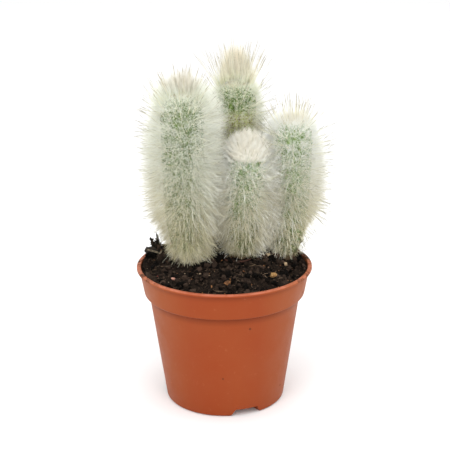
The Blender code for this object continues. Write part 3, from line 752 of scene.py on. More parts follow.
shard.relief(shard.noise(4000, 4, 0.7), 0.0002, 0.7)
finished(shards, shard, "dark_bark")

# Bits of bark, wood and straw
# Chips, flakes, splinters and straws of the compost that are large enough to tell apart. Each lies
# loose in its own place in the soil's surface, broken and frayed at the edges.

BIT_KINDS = {
    "bark": dict(nodes=("bark_chip_right",), rough=0.00060, slot="bark",
                 colours=((0.16, 0.065, 0.018), (0.56, 0.34, 0.13))),
    "brown bark": dict(nodes=("bark_chip_front",), rough=0.00060, slot="bark",
                       colours=((0.045, 0.018, 0.008), (0.34, 0.15, 0.055))),
    "curl": dict(nodes=("bark_curl",), rough=0.00018, slot="bark",
                 colours=((0.030, 0.012, 0.008), (0.10, 0.035, 0.020))),
    "red": dict(nodes=("red_flake_left",), rough=0.00020, slot="bark",
                colours=((0.13, 0.020, 0.016), (0.26, 0.05, 0.035))),
    "lump": dict(nodes=("bark_lump_left", "splinter_left_low", "splinter_left_high", "splinter_right"),
                 rough=0.00085, slot="dark_bark", colours=((0.007, 0.0055, 0.0045), (0.05, 0.036, 0.025))),
    "wood": dict(nodes=("wood_bit_middle", "wood_bit_right"), rough=0.00030, slot="pale_wood",
                 colours=((0.34, 0.21, 0.10), (0.66, 0.52, 0.34))),
    "flake": dict(nodes=("pale_flake_left",), rough=0.00016, slot="pale_wood",
                  colours=((0.36, 0.13, 0.09), (0.62, 0.36, 0.27))),
    "straw": dict(nodes=("straw_upper", "straw_crossing"), rough=0.00020, slot="straw",
                  colours=((0.04, 0.028, 0.019), (0.34, 0.28, 0.19))),
    "old straw": dict(nodes=("straw_long",), rough=0.00015, slot="straw",
                      colours=((0.022, 0.015, 0.010), (0.10, 0.070, 0.045))),
}


def weathered(node, rough):
    """A finer copy of a CAD node: its faces cut small and roughened."""
    bpy.ops.object.select_all(action="DESELECT")
    made = bpy.data.objects.new(f"{node}_weathered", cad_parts[node].data.copy())
    bpy.context.scene.collection.objects.link(made)
    made.select_set(True)
    bpy.context.view_layer.objects.active = made
    bpy.ops.object.mode_set(mode="EDIT")
    bpy.ops.mesh.select_all(action="SELECT")
    bpy.ops.mesh.remove_doubles(threshold=0.00001)
    bpy.ops.mesh.subdivide(number_cuts=3, smoothness=0.15)
    bpy.ops.object.mode_set(mode="OBJECT")
    made.data.materials.clear()
    for vert in made.data.vertices:
        push = noise.fractal(vert.co / 0.0011, 0.8, 2.0, 3)
        vert.co += vert.normal * rough * (push - 0.25)
    smoothed(made, 45)
    return made


for kind, bit in BIT_KINDS.items():
    finish = Finish(f"{kind.replace(' ', '_')}_bits_surface", specular_ior_level=0.3)
    streaks = finish.node("ShaderNodeMapping", {"Vector": finish.place, "Scale": (1.0, 3.0, 2.0)}).outputs[0]
    tone = finish.mix(finish.patches((520, 4, 0.65, streaks), 0.38, 0.64), *bit["colours"])
    stains = finish.patches((800, 4, 0.7), 0.56, 0.72, 0.0, 0.75)
    finish.set(base_color=finish.mix(stains, tone, PEAT_BROWN))
    finish.dulled(900, 0.62, 0.92)
    finish.relief(finish.noise(3500, 5, 0.7, streaks), 0.0003, 0.7)
    for node in bit["nodes"]:
        finished(weathered(node, bit["rough"]), finish, bit["slot"], node)

# Stems
# Each stem is one cactus shoot with 20 low ribs, grown, not made. Its soft green skin is ribbed, and a
# small pad of cream felt sits every 3.5 mm along each rib, from which all its bristles grow.

RIBS = 20
RIB_DEPTH = 0.10
BODY_SIDES = 100
BODY_STEP = 0.0012
AREOLE_PITCH = 0.0036
CROWN_AREOLES = 110
CROWN_EDGE = 0.92
GOLDEN_ANGLE = 2.39996
PAD_SIZE = (0.00050, 0.00070, 0.00030)
WOOLLY_PAD = 2.2
# For each stem the share of its radius within which the crown is woolly, and the two greens of its
# skin. The back stem has a stretch of brown combs too, given in shares of its length
STEM_LOOKS = {
    "tall_left_stem": dict(woolly=0.46, skin=((0.064, 0.112, 0.014), (0.145, 0.225, 0.036))),
    "tall_back_stem": dict(woolly=0.48, skin=((0.058, 0.110, 0.012), (0.148, 0.238, 0.032)),
                           brown=(0.64, 0.86)),
    "short_front_stem": dict(woolly=0.62, skin=((0.094, 0.160, 0.042), (0.210, 0.320, 0.104))),
    "right_stem": dict(woolly=0.54, skin=((0.106, 0.175, 0.046), (0.240, 0.345, 0.112))),
}
COMBS = ((0.22, 0.165, 0.045), (0.58, 0.63, 0.19))
CORK = (0.13, 0.085, 0.045)
OLD_SKIN = (0.105, 0.105, 0.045)
CROWN_WOOL = (0.74, 0.66, 0.50)


def crown_distance(stem, share):
    """The distance along a stem at which its crown has narrowed to a share of its radius."""
    cap = (1 - share ** 2) ** (1 / CROWN_CURVE)
    return stem_length(stem) - CROWN_LENGTH * stem["radius"] * (1 - cap)


def areoles(name, stem):
    """Where the pads are: their distance along the stem and their angle, up the ribs and round the crown."""
    draw = np.random.default_rng(len(name))
    places = []
    for rib in range(RIBS):
        s = 0.003 + 0.5 * (rib % 2) * AREOLE_PITCH
        while s < crown_distance(stem, CROWN_EDGE):
            places.append((s + draw.normal(0, 0.0006), math.tau * rib / RIBS + draw.normal(0, 0.035)))
            s += AREOLE_PITCH * draw.uniform(0.85, 1.1)
    for i in range(CROWN_AREOLES):
        share = CROWN_EDGE * math.sqrt((i + 0.5) / CROWN_AREOLES)
        places.append((crown_distance(stem, share), i * GOLDEN_ANGLE))
    return np.array(places)


def skin_frames(stem, s, angle):
    """At places on a stem's crests: the point, and the directions out of the skin, up it and across it."""
    step = 0.0002
    slope = (stem_radius(stem, s + step / 2) - stem_radius(stem, np.maximum(s - step / 2, 1e-6))) / step
    level = np.stack([np.cos(angle), np.sin(angle), np.zeros_like(angle)], 1)
    rise = np.array((0.0, 0.0, 1.0))
    out = level - slope[:, None] * rise
    out /= np.linalg.norm(out, axis=1)[:, None]
    across = np.stack([-np.sin(angle), np.cos(angle), np.zeros_like(angle)], 1)
    up = np.cross(out, across)
    return stem_axis(stem, s) + level * stem_radius(stem, s)[:, None], out, up, across


def stem_body(name, stem):
    """The ribbed body from its buried root to its crown."""
    length, crown_length = stem_length(stem), CROWN_LENGTH * stem["radius"]
    shaft_end = length - crown_length
    levels = list(np.linspace(-ROOT_DEPTH, 0.0, 7))
    levels += list(np.linspace(0.0, shaft_end, max(2, round(shaft_end / BODY_STEP))))[1:]
    levels += [length - crown_length * (1 - math.sin(t)) for t in np.linspace(0, math.pi / 2, 18)[1:-1]]
    levels.append(length - 0.00002)
    rings = [(tuple(stem_axis(stem, s)), float(stem_radius(stem, s))) for s in levels]
    made = drawn_up(f"{name}_body", rings, BODY_SIDES)
    points = points_of(made.data)
    s = (points[:, 2] - foot_height(stem)) / (stem["top"][2] - foot_height(stem)) * length
    middle = stem_axis(stem, s)
    offset = points - middle
    angle = np.arctan2(offset[:, 1], offset[:, 0])
    crest = np.abs(np.cos(RIBS * angle / 2)) ** 0.8
    fade = np.clip(s / (0.5 * FOOT_TAPER_LENGTH), 0, 1)
    beads = 0.02 * np.cos(math.tau * s / AREOLE_PITCH) * crest ** 3 * fade
    scale = 1 - RIB_DEPTH * fade * (1 - crest) + beads - 0.01
    points[:, :2] = middle[:, :2] + offset[:, :2] * scale[:, None]
    made.data.vertices.foreach_set("co", points.ravel())
    marked(made.data, np.stack([crest, np.clip(s / length, 0, 1)], 1))
    made.data.update()
    made.data.shade_smooth()
    return made


def skin_finish(name, stem, woolly, skin, brown=None):
    """Green skin, olive low down, brown cork at the foot, darker between the ribs, woolly on the crown."""
    finish = Finish(f"{name}_skin", specular_ior_level=0.35, subsurface_weight=0.08, subsurface_scale=0.002)
    marks = finish.marks()
    colour = finish.mix(finish.patches((330, 4, 0.6), 0.35, 0.68), *skin)
    if brown:
        middle, half = sum(brown) / 2, (brown[1] - brown[0]) / 2
        off = finish.maths("ABSOLUTE", finish.maths("SUBTRACT", marks["Green"], middle), 0.0)
        combs = finish.mix(finish.patches((700, 3, 0.6), 0.43, 0.57), *COMBS)
        colour = finish.mix(finish.spread(off, half, 0.6 * half, 0.0, 0.80), colour, combs)
    old = finish.times(finish.spread(marks["Green"], 0.55, 0.10), finish.patches((190, 3, 0.6), 0.25, 0.52))
    colour = finish.mix(finish.times(old, 0.85), colour, OLD_SKIN)
    wool = finish.maths("ADD", marks["Green"], finish.times(finish.noise(900, 3, 0.6), 0.02))
    edge = crown_distance(stem, woolly) / stem_length(stem)
    colour = finish.mix(finish.spread(wool, edge, edge + 0.02), colour, CROWN_WOOL)
    colour = finish.mix(finish.spread(marks["Green"], 0.06, 0.005), colour, CORK)
    shaded = finish.spread(marks["Red"], 0.0, 0.6, 0.6, 1.0)
    finish.set(base_color=finish.mix(1.0, colour, shaded, "MULTIPLY"))
    finish.dulled(500, 0.48, 0.68)
    finish.relief(finish.noise(2400, 4, 0.6), 0.00015, 0.5)
    return finish


felt = Finish("areole_felt", specular_ior_level=0.2)
tufts = felt.patches((600, 4, 0.6), 0.35, 0.65)
felt.set(base_color=felt.mix(tufts, (0.50, 0.42, 0.27), (0.74, 0.68, 0.52)))
felt.dulled(900, 0.82, 1.0)
felt.relief(felt.noise(5200, 3, 0.7), 0.0002, 0.8)
bpy.ops.object.select_all(action="DESELECT")
bpy.ops.mesh.primitive_uv_sphere_add(segments=4, ring_count=3, radius=1.0)
pad_pattern = pattern()

for name, stem in STEMS.items():
    finished(stem_body(name, stem), skin_finish(name, stem, **STEM_LOOKS[name]), "cactus", name)
    places = areoles(name, stem)
    where, out, up, across = skin_frames(stem, places[:, 0], places[:, 1])
    axes = np.stack([across * PAD_SIZE[0], up * PAD_SIZE[1], out * PAD_SIZE[2]], axis=2)
    woolly = places[:, 0] > crown_distance(stem, STEM_LOOKS[name]["woolly"])
    axes *= np.where(woolly, WOOLLY_PAD, 1.0)[:, None, None]
    points, triangles, _ = copied([pad_pattern], np.zeros(len(places), int), axes, where)
    finished(meshed(f"{name}_felt_pads", points, triangles), felt, "cactus", name)

# Wool cap of the short front stem
# The crown of this stem is young and closed, and the felt of its pads has matted into one soft cap of
# white wool, in which the bristles of the crown stand.

WOOL_DOWN = 0.0050
WOOL_RISE = 0.0058
WOOL_RADIUS = 0.0128
stem = STEMS["short_front_stem"]
crown_top = Vector(stem["top"])
rings = [((crown_top.x, crown_top.y, crown_top.z - WOOL_DOWN - 0.003), stem["radius"] * 0.80)]
for t in np.linspace(0.0, 0.97, 18) * math.pi / 2:
    rise = (WOOL_DOWN + WOOL_RISE) * math.sin(t) - WOOL_DOWN
    rings.append(((crown_top.x, crown_top.y, crown_top.z + rise), WOOL_RADIUS * math.cos(t)))
wool = drawn_up("short_front_stem_wool", rings, 96)
for vert in wool.data.vertices:
    away = vert.co - crown_top + Vector((0, 0, WOOL_DOWN))
    turn = math.atan2(away.y, away.x)
    locks = noise.noise(Vector((math.cos(turn) * 9, math.sin(turn) * 9, vert.co.z / 0.006)))
    vert.co += away.normalized() * (0.0009 * locks + 0.0005 * noise.noise(vert.co / 0.0009))
wool.data.shade_smooth()
fluff = Finish("crown_wool", specular_ior_level=0.15)
tone = fluff.patches((900, 5, 0.7), 0.32, 0.68)
fluff.set(base_color=fluff.mix(tone, (0.80, 0.76, 0.65), (0.92, 0.90, 0.83)))
fluff.dulled(600, 0.85, 1.0)
fluff.relief(fluff.noise(3000, 5, 0.75), 0.0006, 0.9)
finished(wool, fluff, "cactus", "short_front_stem")

# Bristles
# From each pad grow some sixty fine, stiff, glassy white bristles and about one honey-coloured spine,
# of horn like a finger nail. They stand out as a halo, hang down at the foot and crowd into a top tuft.

BRISTLE_RADIUS = 0.000062
SPINE_RADIUS = 0.00014
SPINES_ON_A_PAD = 1.15
# How far the root of a bristle is sunk in the skin
SUNK = 0.0004
# The share of a pad's bristles that stand out, their longest reach and how much less it can be, and
# the reach of the inner bristles, the hanging hairs and the spines
OUTER_SHARE = 0.66
HALO_REACH = 0.0138
HALO_LESS = 0.0036
INNER_REACH = (0.0035, 0.0075)
HAIR_REACH = (0.0070, 0.0130)
SPINE_REACH = (0.0150, 0.0215)
# How far from the foot the growth is old and tinted, how far from the top it is young, and the share
# of the bristles that is lost at the foot
OLD_GROWTH = 0.058
TINTED_GROWTH = 0.090
YOUNG_GROWTH = 0.040
THINNED_AT_FOOT = 0.46
# How far points of bristles stay from another stem's skin, how far they may reach over the border
# between two stems, and how far they stay from a bit, from the soil and above the lip
SKIN_CLEARANCE = 0.0022
OVER_BORDER = 0.0045
BIT_CLEARANCE = 0.0012
SOIL_CLEARANCE = 0.0006
LIP_CLEARANCE = 0.0015
HIGHEST_SOIL = 0.108
OLD_HORN = (0.63, 0.57, 0.355)
HORN_STAIN = (0.78, 0.66, 0.47)
GREEN_TINT = (0.68, 0.79, 0.38)
# Each stem's own growth. shaft is how many bristles grow from a pad on the shaft, reach their share of
# the usual reach, sheen how pale the inner ones are, tint how much green shows through at their roots,
# warm how much honey is in the old ones, and young and prime the colours of new and full-grown ones.
# full_side is the direction in which they are long right up to the top, worn_side the one in which they
# are worn short at the foot, each with how much. combs is the stretch that has combs of bristles.
# crown is how many grow from a pad on the crown, core how far the thick tuft spreads over it, dip how
# much less it does at the front, waist where along it a bristle is thickest, tuft the shortest and the
# longest reach, edge how much shorter they are round the edge, fan how far they fan out, strands and
# wild how far a pad's bristles and a single one stray, and palest how pale they are. shoulder is the
# reach of those round the tuft, wings how much longer they are off the front, and veil how many there
# are. spines, spine and spine_fan are the long spines of the tuft: how many, their reach and their fan.
# hanging lists groups of soft hairs: how many, round which angle, how widely and from how high
USUAL_GROWTH = dict(sheen=0.0, full_side=(0.0, 0.0), worn_side=(0.0, 0.0), combs=(0.0, 0.0), hanging=())
GROWTH = {
    "tall_left_stem": dict(
        seed=101, shaft=62, reach=0.90, tint=0.62, warm=0.55, young=(0.82, 0.78, 0.68),
        prime=(0.93, 0.95, 0.87), full_side=(0.0, 1.0),
        crown=74, core=0.62, dip=0.16, waist=0.34, tuft=(0.0062, 0.0148), edge=0.42, fan=1.9, strands=0.08,
        wild=0.17, palest=0.40, shoulder=(0.0028, 0.0072), wings=0.0066, veil=0.50,
        spines=90, spine=(0.0110, 0.0215), spine_fan=1.30,
        hanging=((900, -35, 28, 0.070), (230, -94, 22, 0.012), (260, -22, 24, 0.092))),
    "tall_back_stem": dict(
        seed=102, shaft=50, reach=0.72, tint=0.62, warm=0.75, young=(0.98, 0.92, 0.77),
        prime=(0.93, 0.955, 0.84), combs=(0.078, 0.0945),
        crown=78, core=0.82, dip=0.42, waist=0.30, tuft=(0.0130, 0.0252), edge=0.30, fan=-0.12, strands=0.07,
        wild=0.08, palest=0.25, shoulder=(0.0022, 0.0048), wings=0.0022, veil=0.45,
        spines=110, spine=(0.0185, 0.0325), spine_fan=0.80),
    "short_front_stem": dict(
        seed=103, shaft=68, reach=0.90, sheen=0.45, tint=0.30, warm=0.20, young=(0.90, 0.87, 0.78),
        prime=(0.98, 0.99, 0.95),
        crown=70, core=1.30, dip=0.0, waist=0.55, tuft=(0.0090, 0.0102), edge=0.49, fan=2.60, strands=0.05,
        wild=0.10, palest=0.62, shoulder=(0.0030, 0.0060), wings=0.0, veil=0.60,
        spines=26, spine=(0.0095, 0.0125), spine_fan=2.20,
        hanging=((600, -8, 34, 0.040), (420, -6, 32, 0.066), (420, 190, 26, 0.066))),
    "right_stem": dict(
        seed=104, shaft=68, reach=0.76, sheen=0.45, tint=0.30, warm=0.25, young=(0.98, 0.95, 0.85),
        prime=(0.98, 0.99, 0.95), worn_side=(-0.35, 0.90),
        crown=50, core=0.66, dip=0.10, waist=0.42, tuft=(0.0020, 0.0052), edge=0.30, fan=1.60, strands=0.10,
        wild=0.15, palest=0.3, shoulder=(0.0030, 0.0068), wings=0.0030, veil=0.75,
        spines=80, spine=(0.0110, 0.0205), spine_fan=1.15,
        hanging=((380, 205, 34, 0.040), (420, 196, 30, 0.082))),
}


def unit(vectors):
    return vectors / np.maximum(np.linalg.norm(vectors, axis=1), 1e-9)[:, None]


def smooth_step(value):
    value = np.clip(value, 0, 1)
    return value * value * (3 - 2 * value)


def upper(stem, s):
    """0 on a stem's lower half, rising to 1 below its crown."""
    return smooth_step((s / stem_length(stem) - 0.45) / 0.4)


def towards(angle, side):
    """1 on the side of a stem that faces a direction, falling to 0 round it."""
    return smooth_step((np.cos(angle - side) - 0.1) / 0.6)


def age(stem, s):
    """How old the growth is at places up a stem, 1 at the foot, and how near the crown it is."""
    near_top = np.clip(1 - (stem_length(stem) - s) / (2.0 * stem["radius"]), 0, 1) ** 1.5
    return np.clip(1 - s / OLD_GROWTH, 0, 1) ** 1.2, near_top


def grown_out(stem, growth, s, angle):
    """The share of its full reach that a bristle has: short when young, and worn short at the foot."""
    side, more = growth["full_side"]
    young = 0.34 + 0.66 * smooth_step((stem_length(stem) - s) / YOUNG_GROWTH)
    young += more * (1 - young) * towards(angle, side)
    side, less = growth["worn_side"]
    worn = less * towards(angle, side) * (1 - smooth_step((s - 0.014) / 0.022))
    foot = 0.30 + 0.12 * np.clip(s / 0.012, 0, 1) + 0.58 * smooth_step((s - 0.018) / 0.024)
    return young * (1 - worn) * foot


def gap_to(stem, points):
    """How far points stand outside a stem's widest radius, and the direction away from its middle."""
    foot = foot_height(stem)
    share = np.clip((points[:, 2] - foot) / (stem["top"][2] - foot), 0, 1)
    middle = stem_axis(stem, np.maximum(share, 1e-6) * stem_length(stem))
    middle[:, 2] = np.clip(points[:, 2], foot, stem["top"][2] - stem["radius"])
    away = points - middle
    distance = np.linalg.norm(away, axis=1)
    return distance - stem["radius"], away / np.maximum(distance, 1e-9)[:, None]


def kept_clear(name, roots, points):
    """Bends points of bristles off the other stems, the bits, the soil and the pot's lip."""
    others = [stem for other_name, stem in STEMS.items() if other_name != name]
    for other in 3 * others:
        own, _ = gap_to(STEMS[name], points)
        gap, away = gap_to(other, points)
        push = np.maximum(np.clip(own - OVER_BORDER - gap, 0, None) * 0.55, SKIN_CLEARANCE - gap)
        points = points + away * np.clip(push, 0, None)[:, None]
    for bit in BIT_KINDS.values():
        for node in bit["nodes"]:
            low, high = (np.array(corner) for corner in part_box(node))
            for _ in range(5):
                over = np.all((points > low - BIT_CLEARANCE) & (points < high + BIT_CLEARANCE), axis=1)
                points = np.where(over[:, None], roots + 0.8 * (points - roots), points)
    low = np.flatnonzero(points[:, 2] < HIGHEST_SOIL)
    floor = np.array([soil_height(x, y) for x, y in points[low, :2]]) + SOIL_CLEARANCE
    points[low, 2] = np.maximum(points[low, 2], floor)
    outside = np.hypot(points[:, 0], points[:, 1]) > RIM_RADIUS - 2 * LIP_WIDTH
    points[outside, 2] = np.maximum(points[outside, 2], POT_HEIGHT + LIP_CLEARANCE)
    return points


def grow(name, part, form, finish, draw, roots, heading, reach, sag, radius, tone, palest=0.0):
    """Makes a part of a stem's growth: its form bent and stretched along each bristle, root to tip."""
    elbows = roots + heading * (0.5 * reach)[:, None] + draw.normal(0, 0.0004, roots.shape)
    tips = roots + heading * reach[:, None]
    tips[:, 2] -= sag * reach
    elbows, tips = kept_clear(name, roots, elbows), kept_clear(name, roots, tips)
    shape, faces = form
    z = shape[:, 2]
    weights = np.stack([(1 - z) ** 2, 2 * z * (1 - z), z * z])
    curve = np.einsum("pk,npi->nki", weights, np.stack([roots, elbows, tips], 1))
    along = unit(tips - roots)
    side = unit(np.cross(along, draw.normal(size=along.shape)))
    other = np.cross(along, side)
    across = shape[:, 0, None] * side[:, None] + shape[:, 1, None] * other[:, None]
    points = curve + radius[:, None, None] * across
    count = len(roots)
    triangles = faces[None] + (len(shape) * np.arange(count))[:, None, None]
    shade = palest + (1 - palest) * draw.random(count)
    marks = np.stack([np.repeat(tone, len(shape)), np.tile(z, count), np.repeat(shade, len(shape))], 1)
    made = meshed(f"{name}_{part}", points.reshape(-1, 3), triangles.reshape(-1, 3), marks, smooth=False)
    finished(made, finish, "cactus", name)


def sliver(waist):
    """One fine bristle: a sliver that is pointed at both ends and thickest at its waist."""
    bpy.ops.object.select_all(action="DESELECT")
    bpy.ops.mesh.primitive_cone_add(vertices=3, radius1=1.0, depth=1.0)
    data = bpy.context.object.data
    for vert in data.vertices:
        vert.select = vert.co.z < 0 and vert.co.y < 0
    bpy.ops.object.mode_set(mode="EDIT")
    bpy.ops.transform.translate(value=(0, 0, waist))
    bpy.ops.object.mode_set(mode="OBJECT")
    data.transform(Matrix.Translation((0, 0, 0.5)))
    return pattern()


def needle(cuts):
    """One spine: slim and three-sided, cut across at heights at which it can bend."""
    bpy.ops.object.select_all(action="DESELECT")
    bpy.ops.mesh.primitive_cone_add(vertices=3, radius1=1.0, depth=1.0, location=(0, 0, 0.5),
                                    enter_editmode=True)
    for level, wide in cuts:
        wider = wide / (1 - level)
        bpy.ops.mesh.select_all(action="SELECT")
        bpy.ops.mesh.bisect(plane_co=(0, 0, level), plane_no=(0, 0, 1))
        bpy.ops.transform.resize(value=(wider, wider, 1), center_override=(0, 0, level))
    bpy.ops.mesh.select_all(action="SELECT")
    bpy.ops.mesh.quads_convert_to_tris()
    bpy.ops.object.mode_set(mode="OBJECT")
    bpy.context.object.data.transform(Matrix.Translation((0, 0, 0.5)))
    return pattern()


def bristle_finish(name, growth):
    """Horn that is peach at the young top, white on the shaft and straw-coloured at the old foot."""
    finish = Finish(f"{name}_horn", specular_ior_level=0.3)
    marks = finish.marks()
    colour = finish.mix(finish.spread(marks["Red"], 0.30, 0.05), growth["prime"], growth["young"])
    colour = finish.mix(finish.spread(marks["Red"], 0.55, 0.95), colour, OLD_HORN)
    stains = finish.patches((160, 3, 0.6), 0.42, 0.66)
    colour = finish.mix(finish.times(stains, 0.25 * growth["warm"]), colour, HORN_STAIN)
    colour = finish.mix(finish.spread(marks["Green"], 0.65, 0.0, 0.0, growth["tint"]), colour, GREEN_TINT)
    shine = finish.spread(marks["Blue"], 0.0, 1.0, 0.68, 1.06)
    finish.set(base_color=finish.mix(1.0, colour, shine, "MULTIPLY"))
    finish.dulled(700, 0.42, 0.66)
    finish.relief(finish.noise(6000), 0.00003, 0.3)
    return finish


def shaft_bristles(name, growth, shaft, horn, draw):
    """Bristles of the shaft: the outer ones make the halo, the inner ones lie over the skin."""
    stem, many = STEMS[name], growth["shaft"]
    count = len(shaft) * many
    s = np.clip(np.repeat(shaft[:, 0], many) + draw.normal(0, 0.0007, count), 0.0005, None)
    angle = np.repeat(shaft[:, 1], many) + draw.normal(0, 0.05, count)
    ruffled = 0.11 + 0.24 * age(stem, shaft[:, 0])[0]
    lock = np.repeat(draw.normal(0, 1.0, (len(shaft), 3)) * ruffled[:, None], many, axis=0)
    kept = draw.random(count) > THINNED_AT_FOOT * age(stem, s)[0]
    s, angle, lock = s[kept], angle[kept], lock[kept]
    count = len(s)
    roots, out, up, across = skin_frames(stem, s, angle)
    old, near_top = age(stem, s)
    outer = draw.random(count) < OUTER_SHARE
    lean = np.where(outer, draw.normal(0.40, 0.24, count), draw.normal(1.00, 0.20, count))
    lean = np.clip(np.abs(lean), 0.03, 1.35)[:, None]
    fan = draw.uniform(0, math.tau, count)[:, None]
    heading = out * np.cos(lean) + (up * np.cos(fan) + across * np.sin(fan)) * np.sin(lean) + lock
    heading += draw.normal(0, 0.42, heading.shape) * old[:, None]
    heading[:, 2] += 0.06 + 0.22 * upper(stem, s) - np.where(outer, 0.46, 0.20) * old
    heading[:, 2] += np.where(outer, 0.5, 0.0) * near_top
    low, high = growth["combs"]
    combed = (s > low) & (s < high) & (draw.random(count) < 0.55)
    comb = out * 0.50 + up * draw.choice((-0.8, 0.8), count)[:, None]
    comb += across * draw.normal(0, 0.4, count)[:, None]
    heading = unit(np.where(combed[:, None], comb, heading))
    grown = grown_out(stem, growth, s, angle)
    halo = (HALO_REACH - HALO_LESS * draw.random(count) ** 1.6) * grown
    least = 0.36 + 0.29 * smooth_step((s - 0.008) / 0.022)
    reach = np.where(outer, halo, draw.uniform(*INNER_REACH, count) * np.clip(grown, least, 1))
    reach *= growth["reach"] * np.where(combed, 0.65, 1.0)
    tinted = np.clip(1 - s / TINTED_GROWTH, 0, 1)
    tone = np.clip(0.42 + 0.66 * tinted - 0.14 * near_top + 0.3 * combed + draw.normal(0, 0.12, count), 0, 1)
    radius = BRISTLE_RADIUS * draw.uniform(0.75, 1.2, count) * np.where(outer, 1.0, 1.5)
    roots = roots - out * SUNK
    for part, mine, sheen in (("inner_bristles", ~outer, growth["sheen"]), ("outer_bristles", outer, 0.0)):
        grow(name, part, fine_bristle, horn, draw, roots[mine], heading[mine], reach[mine], 0.15 * old[mine],
             radius[mine], tone[mine], sheen)


def hanging_hairs(name, growth, horn, draw):
    """Soft hairs that hang down on the side where two stems meet, and over the foot."""
    groups = growth["hanging"]
    s = np.concatenate([0.004 + highest * draw.random(many) ** 0.8 for many, _, _, highest in groups])
    angle = np.concatenate([draw.normal(middle, spread, many) for many, middle, spread, _ in groups])
    count = len(angle)
    roots, out, _, across = skin_frames(STEMS[name], s, np.radians(angle))
    heading = unit(out * 0.75 + across * 0.15 + np.array((0, 0, -0.55)) + draw.normal(0, 0.38, (count, 3)))
    reach = draw.uniform(*HAIR_REACH, count) + 0.0050 * smooth_step((s - 0.010) / 0.030)
    straw = (0.30 + 0.40 * growth["warm"]) * (1 - smooth_step((s - 0.022) / 0.033))
    tone = draw.uniform(0.22, 0.52, count) + straw
    radius = BRISTLE_RADIUS * draw.uniform(0.8, 1.4, count)
    roots = roots - out * SUNK
    grow(name, "hanging_hairs", long_spine, horn, draw, roots, heading, reach, 0.15, radius, tone,
         1.2 * growth["sheen"])


def top_tuft(name, growth, crown, horn, draw):
    """Tuft of the crown: the young bristles, erect in the middle and short round the shoulder."""
    many = growth["crown"]
    count = len(crown) * many
    place = np.repeat(CROWN_EDGE * np.sqrt((np.arange(len(crown)) + 0.5) / len(crown)), many)
    s, angle = np.repeat(crown, many, axis=0).T
    facing = -np.sin(angle)
    roots, out, _, _ = skin_frames(STEMS[name], s, angle + draw.normal(0, 0.08, count))
    roots = roots + draw.normal(0, 0.0003, (count, 3))
    erect = smooth_step((growth["core"] - growth["dip"] * np.clip(facing, 0, 1) - place) / 0.12 + 0.5)
    strand = np.repeat(draw.normal(0, growth["strands"], (len(crown), 3)), many, axis=0)
    tall = np.repeat(draw.uniform(0.86, 1.0, len(crown)), many)
    heading = out * growth["fan"] + np.array((0, 0, 0.9)) + strand
    heading = unit(heading + draw.normal(0, growth["wild"], (count, 3)))
    around = unit(out * 0.75 + np.array((0, 0, 0.20)) + strand + draw.normal(0, 0.50, (count, 3)))
    heading = unit(heading * erect[:, None] + around * (1 - erect)[:, None])
    shortest, longest = growth["tuft"]
    reach = (longest - (longest - shortest) * draw.random(count)) * tall * (1 - growth["edge"] * place ** 2)
    wing = (growth["wings"] > 0) * (1 - smooth_step((facing - 0.25) / 0.45))
    reach = reach * erect + (draw.uniform(*growth["shoulder"], count) + growth["wings"] * wing) * (1 - erect)
    tone = 0.06 + 0.30 * (1 - erect) + 0.12 * place + np.repeat(draw.normal(0, 0.07, len(crown)), many)
    tone = np.clip(tone + draw.normal(0, 0.04, count), 0, 0.5)
    radius = BRISTLE_RADIUS * draw.uniform(0.8, 1.25, count) * (1 + 0.3 * (1 - erect))
    kept = draw.random(count) < growth["veil"] + (1 - growth["veil"]) * np.maximum(erect, 0.8 * wing)
    grow(name, "top_tuft", sliver(growth["waist"]), horn, draw, (roots - out * SUNK)[kept], heading[kept],
         reach[kept], 0.0, radius[kept], tone[kept], growth["palest"])


def spines(name, growth, shaft, crown, draw):
    """Spines: about one from each pad of the shaft, and the long single ones of the tuft."""
    stem = STEMS[name]
    picked = draw.integers(0, len(shaft), round(len(shaft) * SPINES_ON_A_PAD))
    s, angle = shaft[picked].T
    roots, out, _, _ = skin_frames(stem, s, angle)
    old, near_top = age(stem, s)
    heading = out + draw.normal(0, 0.26, roots.shape)
    heading[:, 2] += 0.12 + 0.15 * upper(stem, s) + 0.7 * near_top - 1.2 * old
    reach = draw.uniform(*SPINE_REACH, len(s)) * (0.35 + 0.65 * smooth_step((s - 0.012) / 0.028))
    picked = draw.integers(0, round(len(crown) * 0.8), growth["spines"])
    top_roots, top_out, _, _ = skin_frames(stem, *crown[picked].T)
    top_heading = top_out * growth["spine_fan"] + np.array((0, 0, 0.6))
    top_heading += draw.normal(0, 0.14, top_roots.shape)
    reach = np.concatenate([reach, draw.uniform(*growth["spine"], len(picked))])
    roots = np.concatenate([roots - out * SUNK, top_roots])
    heading = unit(np.concatenate([heading, top_heading]))
    sag = np.concatenate([0.2 * old, np.zeros(len(picked))])
    radius = SPINE_RADIUS * draw.uniform(0.6, 1.1, len(roots))
    tone = np.concatenate([np.full(len(s), 0.5), draw.uniform(0.0, 0.4, len(picked))])
    grow(name, "spines", long_spine, honey, draw, roots, heading, reach, sag, radius, tone)


# Clear honey-coloured horn, paler towards the root
honey = Finish("spine_horn", specular_ior_level=0.3)
marks = honey.marks()
colour = honey.mix(honey.spread(marks["Green"], 0.35, 0.85), (0.88, 0.87, 0.68), (0.26, 0.24, 0.17))
colour = honey.mix(honey.spread(marks["Blue"], 0.4, 1.0, 0.0, 0.7), colour, (0.60, 0.57, 0.45))
colour = honey.mix(honey.spread(marks["Red"], 0.5, 0.1, 0.0, 0.2), colour, (0.80, 0.68, 0.48))
honey.set(base_color=colour)
honey.dulled(800, 0.35, 0.55)
honey.relief(honey.noise(6000), 0.00003, 0.3)

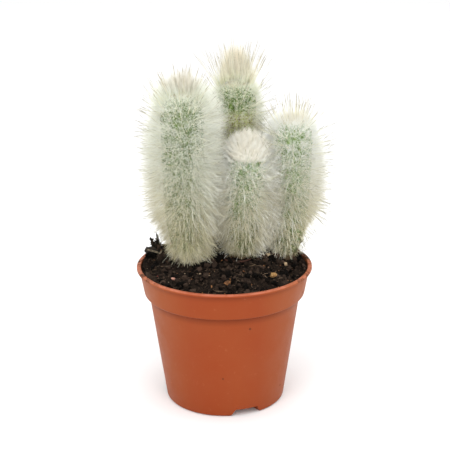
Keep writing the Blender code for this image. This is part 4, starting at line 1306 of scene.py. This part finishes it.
fine_bristle = sliver(0.55)
long_spine = needle(((0.4, 1.0), (0.85, 0.75)))
for name, stem in STEMS.items():
    growth = USUAL_GROWTH | GROWTH[name]
    draw = np.random.default_rng(growth["seed"])
    pads = areoles(name, stem)
    shaft, crown = pads[:-CROWN_AREOLES], pads[-CROWN_AREOLES:]
    horn = bristle_finish(name, growth)
    shaft_bristles(name, growth, shaft, horn, draw)
    if growth["hanging"]:
        hanging_hairs(name, growth, horn, draw)
    top_tuft(name, growth, crown, horn, draw)
    spines(name, growth, shaft, crown, draw)

# Floor, light and camera
# The object stands on a plain near-white floor in even, soft studio light, seen from the front and a
# little above, at the height and distance that give the pot's rim and foot their usual shape.

bpy.ops.object.select_all(action="DESELECT")
bpy.ops.mesh.primitive_plane_add(size=12, location=(0, 0, -0.0002))
floor = bpy.context.object
floor.name = "studio_floor"
paper = Finish("studio_paper", specular_ior_level=0.1)
paper.set(base_color=paper.mix(paper.noise(3), (0.90, 0.90, 0.90), (0.92, 0.92, 0.92)), roughness=0.9)
floor.data.materials.append(paper.material)

SOFTBOXES = (("key_softbox", (-0.45, -0.90, 0.85), 0.6, 3.7),
             ("fill_softbox", (0.34, -1.05, 0.62), 0.9, 4.1),
             ("top_softbox", (0.10, -0.25, 1.60), 1.2, 8.0))
LIT_POINT = Vector((0, 0, 0.12))
world = bpy.data.worlds.new("studio")
bpy.context.scene.world = world
world.use_nodes = True
surroundings = world.node_tree.nodes["Background"].inputs
surroundings["Color"].default_value = (1, 1, 1, 1)
surroundings["Strength"].default_value = 1.05
for light_name, at, size, power in SOFTBOXES:
    lamp = bpy.data.lights.new(light_name, "AREA")
    lamp.size = size
    lamp.energy = power
    stand = bpy.data.objects.new(light_name, lamp)
    stand.location = at
    stand.rotation_euler = (LIT_POINT - Vector(at)).to_track_quat("-Z", "Y").to_euler()
    bpy.context.scene.collection.objects.link(stand)

CAMERA_AT = (0, -0.753457, 0.371352)
CAMERA_RIGHT = Vector((0.999971, -0.003105, -0.006890))
CAMERA_UP = Vector((0.007515, 0.312669, 0.949833))
CAMERA_AHEAD = Vector((0.000795, 0.949857, -0.312683))
lens = bpy.data.cameras.new("camera")
lens.lens = 93.48
lens.sensor_width = 36.0
lens.clip_start = 0.01
lens.clip_end = 50.0
camera = bpy.data.objects.new("camera", lens)
turn = Matrix((CAMERA_RIGHT, CAMERA_UP, -CAMERA_AHEAD)).transposed().to_4x4()
camera.matrix_world = Matrix.Translation(CAMERA_AT) @ turn
bpy.context.scene.collection.objects.link(camera)
bpy.context.scene.camera = camera
bpy.context.scene.view_settings.view_transform = "Standard"
